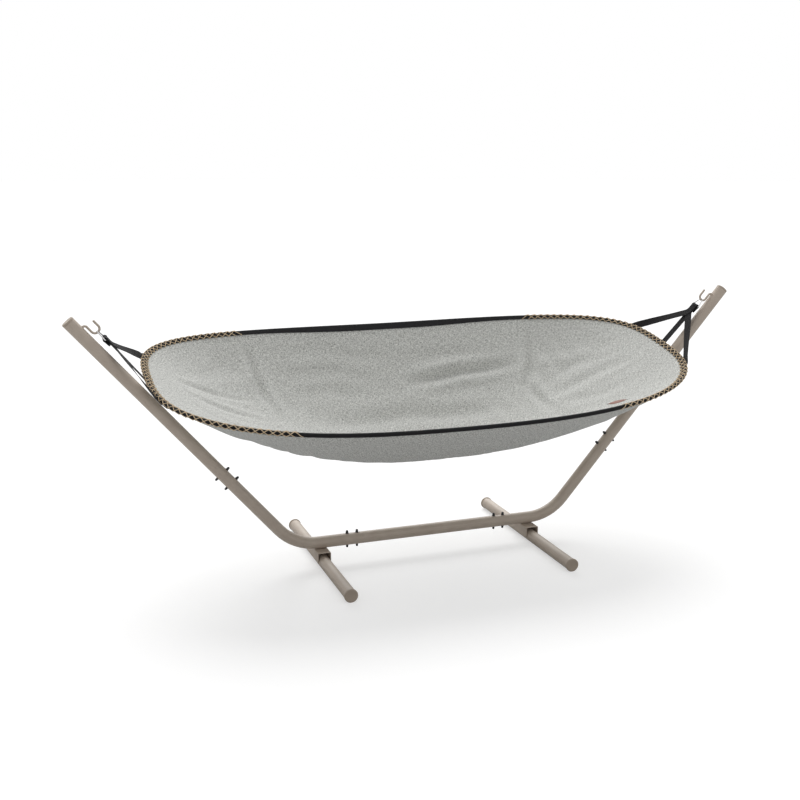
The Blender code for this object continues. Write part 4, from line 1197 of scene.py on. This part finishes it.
# %% Triangular rings
RING_WIRE = 0.003
RING_NOSE_RADIUS = 0.0105
RING_HALF_ANGLE = math.radians(22)
RING_CORNER_RADIUS = 0.0045
RING_SIDE_GAP = 0.0020
STRAP_WIDTH = 0.040
STRAP_THICKNESS = 0.002
SWING_X = arm_point(HOOK_BEND_DROP + HOOK_BEND, HOOK_INNER_OUT + HOOK_BEND).x
ring_nose = -(HOOK_WIRE + FIT + RING_WIRE)
ring_peak = ring_nose + RING_NOSE_RADIUS - RING_NOSE_RADIUS / math.sin(RING_HALF_ANGLE)
ring_bar_half = (STRAP_WIDTH / 2 + RING_SIDE_GAP
                 + RING_CORNER_RADIUS / math.tan((math.pi / 2 - RING_HALF_ANGLE) / 2))
ring_bar_drop = ring_peak + ring_bar_half / math.tan(RING_HALF_ANGLE)
for side, sign, _ in SIDES:
    tips = [Vector((sign * (SWING_X - drop * ALONG_ARM.x), y, -drop * ALONG_ARM.z))
            for y, drop in ((0, ring_peak), (ring_bar_half, ring_bar_drop), (-ring_bar_half, ring_bar_drop))]
    route = []
    for k, radius in enumerate((RING_NOSE_RADIUS, RING_CORNER_RADIUS, RING_CORNER_RADIUS)):
        route += arc_corner(tips[k - 1], tips[k], tips[(k + 1) % 3], radius, WIRE_BEND_STEPS)
    flat_way = (tips[1] - tips[0]).cross(tips[2] - tips[0]).normalized()
    add_piece(f"strap_ring_{side}", swept(carried(route, closed=True, start=flat_way),
                                          circle_section(RING_WIRE, WIRE_SIDES), closed=True),
              steel, "hammock", [f"ring_{side}"], place=hammock_place)
print("rings", "bar", round(2 * ring_bar_half * 1000, 1), "mm")

# %% Route of a strap from its sewn end, round the ring's bar, to the rim
STRAP_LAY_GAP = 0.048 * STRAP_WIDTH * RIM_HALF_WIDTH
STRAP_SPREAD = 0.270
STRAP_BACK_LEG = 0.035
STRAP_TURN_START = 0.050
STRAP_TURN_RADIUS = 0.050
STRAP_SEAT_BEND = 0.100
STRAP_SEAT_GAP = 2 * FIT + (STRAP_WIDTH / 2) ** 2 / (2 * STRAP_SEAT_BEND)
STRAP_LAP = 0.050
TWIST_START = 0.20
TWIST_END = 0.88
LOOP_STEPS = 20
TURN_STEPS = 8
TWIST_STEPS = 18
RIM_END_X = 1.0


def strap_route(sign, y, layer):
    """Points and flat-side normals of one strap. The layer counts how many straps lie under it."""
    away = Vector((-sign * ALONG_ARM.x, 0, -ALONG_ARM.z))
    lift = Vector((-sign * ALONG_ARM.z, 0, ALONG_ARM.x))
    bar = Vector((sign * SWING_X, 0, 0)) + ring_bar_drop * away
    pitch = STRAP_THICKNESS + STRAP_LAY_GAP
    radius = RING_WIRE + FIT + STRAP_THICKNESS / 2 + layer * pitch
    level = pitch / 2 + layer * pitch
    lean = math.acos(radius / math.hypot(STRAP_BACK_LEG, level)) - math.atan2(level, STRAP_BACK_LEG)
    route = [(bar + STRAP_BACK_LEG * away - level * lift, -lift)]
    for k in range(LOOP_STEPS + 1):
        angle = -lean - (math.tau - 2 * lean) * k / LOOP_STEPS
        out = math.cos(angle) * away + math.sin(angle) * lift
        route.append((bar + radius * out, out))
    leg_end = bar + STRAP_BACK_LEG * away + level * lift
    ends = [one for one in rim if one[0].x * sign > RIM_END_X]
    rim_point, rim_along, _, rim_up = min(ends, key=lambda one: abs(one[0].y - y))
    turn_point = bar + STRAP_TURN_START * away + level * lift
    flight = (rim_point - turn_point).normalized()
    flat = flight.cross(rim_along).normalized()
    if flat.dot(lift) < 0:
        flat = -flat
    between = (flat + rim_up).normalized()
    edge = rim_point - between * (BINDING_OUTER + STRAP_SEAT_GAP + STRAP_THICKNESS / 2) / between.dot(rim_up)
    lap_way = Matrix.Rotation(flat.angle(rim_up), 3, flat.cross(rim_up)) @ flight
    if abs(y) > STRAP_WIDTH:
        bend = arc_corner(leg_end, turn_point, edge, STRAP_TURN_RADIUS, TURN_STEPS)
        route += [(point, lift) for point in bend]
    else:
        route.append((leg_end, lift))
    for k in range(1, TWIST_STEPS + 1):
        turn = k / TWIST_STEPS
        share = TWIST_START + (TWIST_END - TWIST_START) * turn
        route.append((turn_point.lerp(edge, share), lift.lerp(flat, turn * turn * (3 - 2 * turn))))
    route.append((edge, between))
    route.append((edge + STRAP_LAP * lap_way.normalized(), rim_up))
    return route


print("a strap has", len(strap_route(1, 0.0, 0)), "points")


# %% Webbing along each route
def strap_frames(route):
    """Frames of a strap: point, side across the webbing and normal."""
    frames = []
    last = len(route) - 1
    for k, (point, normal) in enumerate(route):
        way = (route[min(k + 1, last)][0] - route[max(k - 1, 0)][0]).normalized()
        side = normal.cross(way).normalized()
        frames.append((point, side, way.cross(side)))
    return frames


STRAP_EDGE = 0.0007
STRAP_RIBS = 8
half_wide, half_thick = STRAP_WIDTH / 2, STRAP_THICKNESS / 2
strap_section = [(half_wide * (1 - 2 * k / STRAP_RIBS), half_thick) for k in range(STRAP_RIBS + 1)]
strap_section[0] = (half_wide - STRAP_EDGE, half_thick)
strap_section[-1] = (STRAP_EDGE - half_wide, half_thick)
strap_section += [(-half_wide, 0.0)] + [(-s, -u) for s, u in strap_section] + [(half_wide, 0.0)]
STRAP_PLACES = (("middle", 0.0, 0), ("near", -STRAP_SPREAD, 1), ("far", STRAP_SPREAD, 2))
for side, sign, _ in SIDES:
    for label, y, layer in STRAP_PLACES:
        frames = strap_frames(strap_route(sign, y, layer))
        add_piece(f"webbing_{label}_{side}", swept(frames, strap_section), webbing, "hammock",
                  [f"strap_{label}_{side}"], smooth_angle=50, place=hammock_place)
print("straps", len(SIDES) * len(STRAP_PLACES))

# %% [markdown]
# ## Leather patch
# A small patch of leather is sewn inside the near right part of the bed. It is a pointed oval, bounded by
# two arcs, and left bare. Its place comes from the frame: the two points of the solid patch that lie
# furthest apart are its tips. Each point of the patch is then let down on the padded bed, straight along
# the solid patch's normal, as soft leather follows the cloth it is sewn to. A row of stitches runs inside
# its edge, and a tack of thick thread holds each tip. A Shrinkwrap modifier would let the patch down too,
# but not the stitches.

# %% Where the patch lies, and its outline
PATCH_WIDTH = 0.032
PATCH_EDGE = 0.0006
PATCH_DOME = 0.0018
REACH = 0.1
patch_mesh = nodes["leather_patch"].data
corners = [vert.co.copy() for vert in patch_mesh.vertices]
tip_a, tip_b = max(((a, b) for a in corners for b in corners), key=lambda pair: (pair[0] - pair[1]).length)
patch_long = (tip_b - tip_a).length
patch_face = max(patch_mesh.polygons, key=lambda face: face.normal.z * face.area)
patch_normal = patch_face.normal.copy()
patch_place = facing((tip_a + tip_b) / 2, patch_normal, (tip_b - tip_a).normalized())
bow = ((patch_long / 2) ** 2 - (PATCH_WIDTH / 2) ** 2) / PATCH_WIDTH
arc_radius = bow + PATCH_WIDTH / 2
bed_surface = BVHTree.FromObject(bed, bpy.context.evaluated_depsgraph_get())


def oval_half_width(x, inset=0.0):
    return math.sqrt(max((arc_radius - inset) ** 2 - x * x, 0)) - bow


def on_bed(x, y, height):
    """A point above the padded bed, at a place on the patch's plane."""
    spot = patch_place @ Vector((x, y, 0))
    hit = bed_surface.ray_cast(spot + REACH * patch_normal, -patch_normal)[0]
    return hit + height * patch_normal


def dome_height(x, share_out):
    """Height of the leather over the bed: most in its middle, least at its edge and tips."""
    return PATCH_EDGE + PATCH_DOME * (1 - share_out ** 3) * (1 - (2 * abs(x) / patch_long) ** 4)


print("patch", round(patch_long * 1000), "by", round(PATCH_WIDTH * 1000), "mm")

# %% A pointed oval of leather
PATCH_SINK = 0.0025
PATCH_COLUMNS = 36
PATCH_ROWS = 8
bm = bmesh.new()
bmesh.ops.create_grid(bm, x_segments=PATCH_COLUMNS, y_segments=PATCH_ROWS, size=1.0)
flat = {}
for vert in bm.verts:
    x = math.sin(vert.co.x * math.pi / 2) * patch_long / 2
    y = vert.co.y * max(oval_half_width(x), PATCH_EDGE)
    flat[vert] = (x, y)
    vert.co = on_bed(x, y, dome_height(x, abs(vert.co.y)))
lay_map(bm, flat)
rim_of_patch = [e for e in bm.edges if e.is_boundary]
skirt = bmesh.ops.extrude_edge_only(bm, edges=rim_of_patch)
lowered = [v for v in skirt["geom"] if isinstance(v, bmesh.types.BMVert)]
bmesh.ops.translate(bm, verts=lowered, vec=-PATCH_SINK * patch_normal)
bmesh.ops.holes_fill(bm, edges=[e for e in bm.edges if e.is_boundary])
add_piece("sewn_patch", bm, leather, "hammock", ["leather_patch"], smooth_angle=50)
print("patch made of", PATCH_COLUMNS * PATCH_ROWS, "faces on top")

# %% Stitches inside the edge and a tack on each tip
STITCH_COUNT = 22
STITCH_INSET = 0.0042
STITCH_LENGTH = 0.0034
STITCH_RADIUS = 0.00045
TACK_LENGTH = 0.014
TACK_RADIUS = 0.0011
patch_turn = patch_place.to_3x3().to_4x4()
threads_on_patch = []
for edge in (1, -1):
    for k in range(STITCH_COUNT):
        x = (k + 0.5 - STITCH_COUNT / 2) * (patch_long - 4 * STITCH_INSET) / STITCH_COUNT
        y = edge * oval_half_width(x, STITCH_INSET)
        lean = math.atan2(-edge * x, math.sqrt(arc_radius ** 2 - x * x))
        height = dome_height(x, abs(y) / oval_half_width(x))
        threads_on_patch.append((x, y, height, lean, STITCH_LENGTH / 2, STITCH_RADIUS))
    threads_on_patch.append((edge * patch_long / 2, 0, PATCH_EDGE, 0, TACK_LENGTH / 2, TACK_RADIUS))
bm = bmesh.new()
for x, y, height, lean, half_long, radius in threads_on_patch:
    spot = (Matrix.Translation(on_bed(x, y, height)) @ patch_turn @ Matrix.Rotation(lean, 4, "Z")
            @ Matrix.Diagonal((half_long, radius, radius, 1)))
    bmesh.ops.create_uvsphere(bm, u_segments=8, v_segments=6, radius=1.0, matrix=spot)
add_piece("patch_stitches", bm, black_thread, "hammock")
print("stitches", 2 * STITCH_COUNT, "and two tacks")
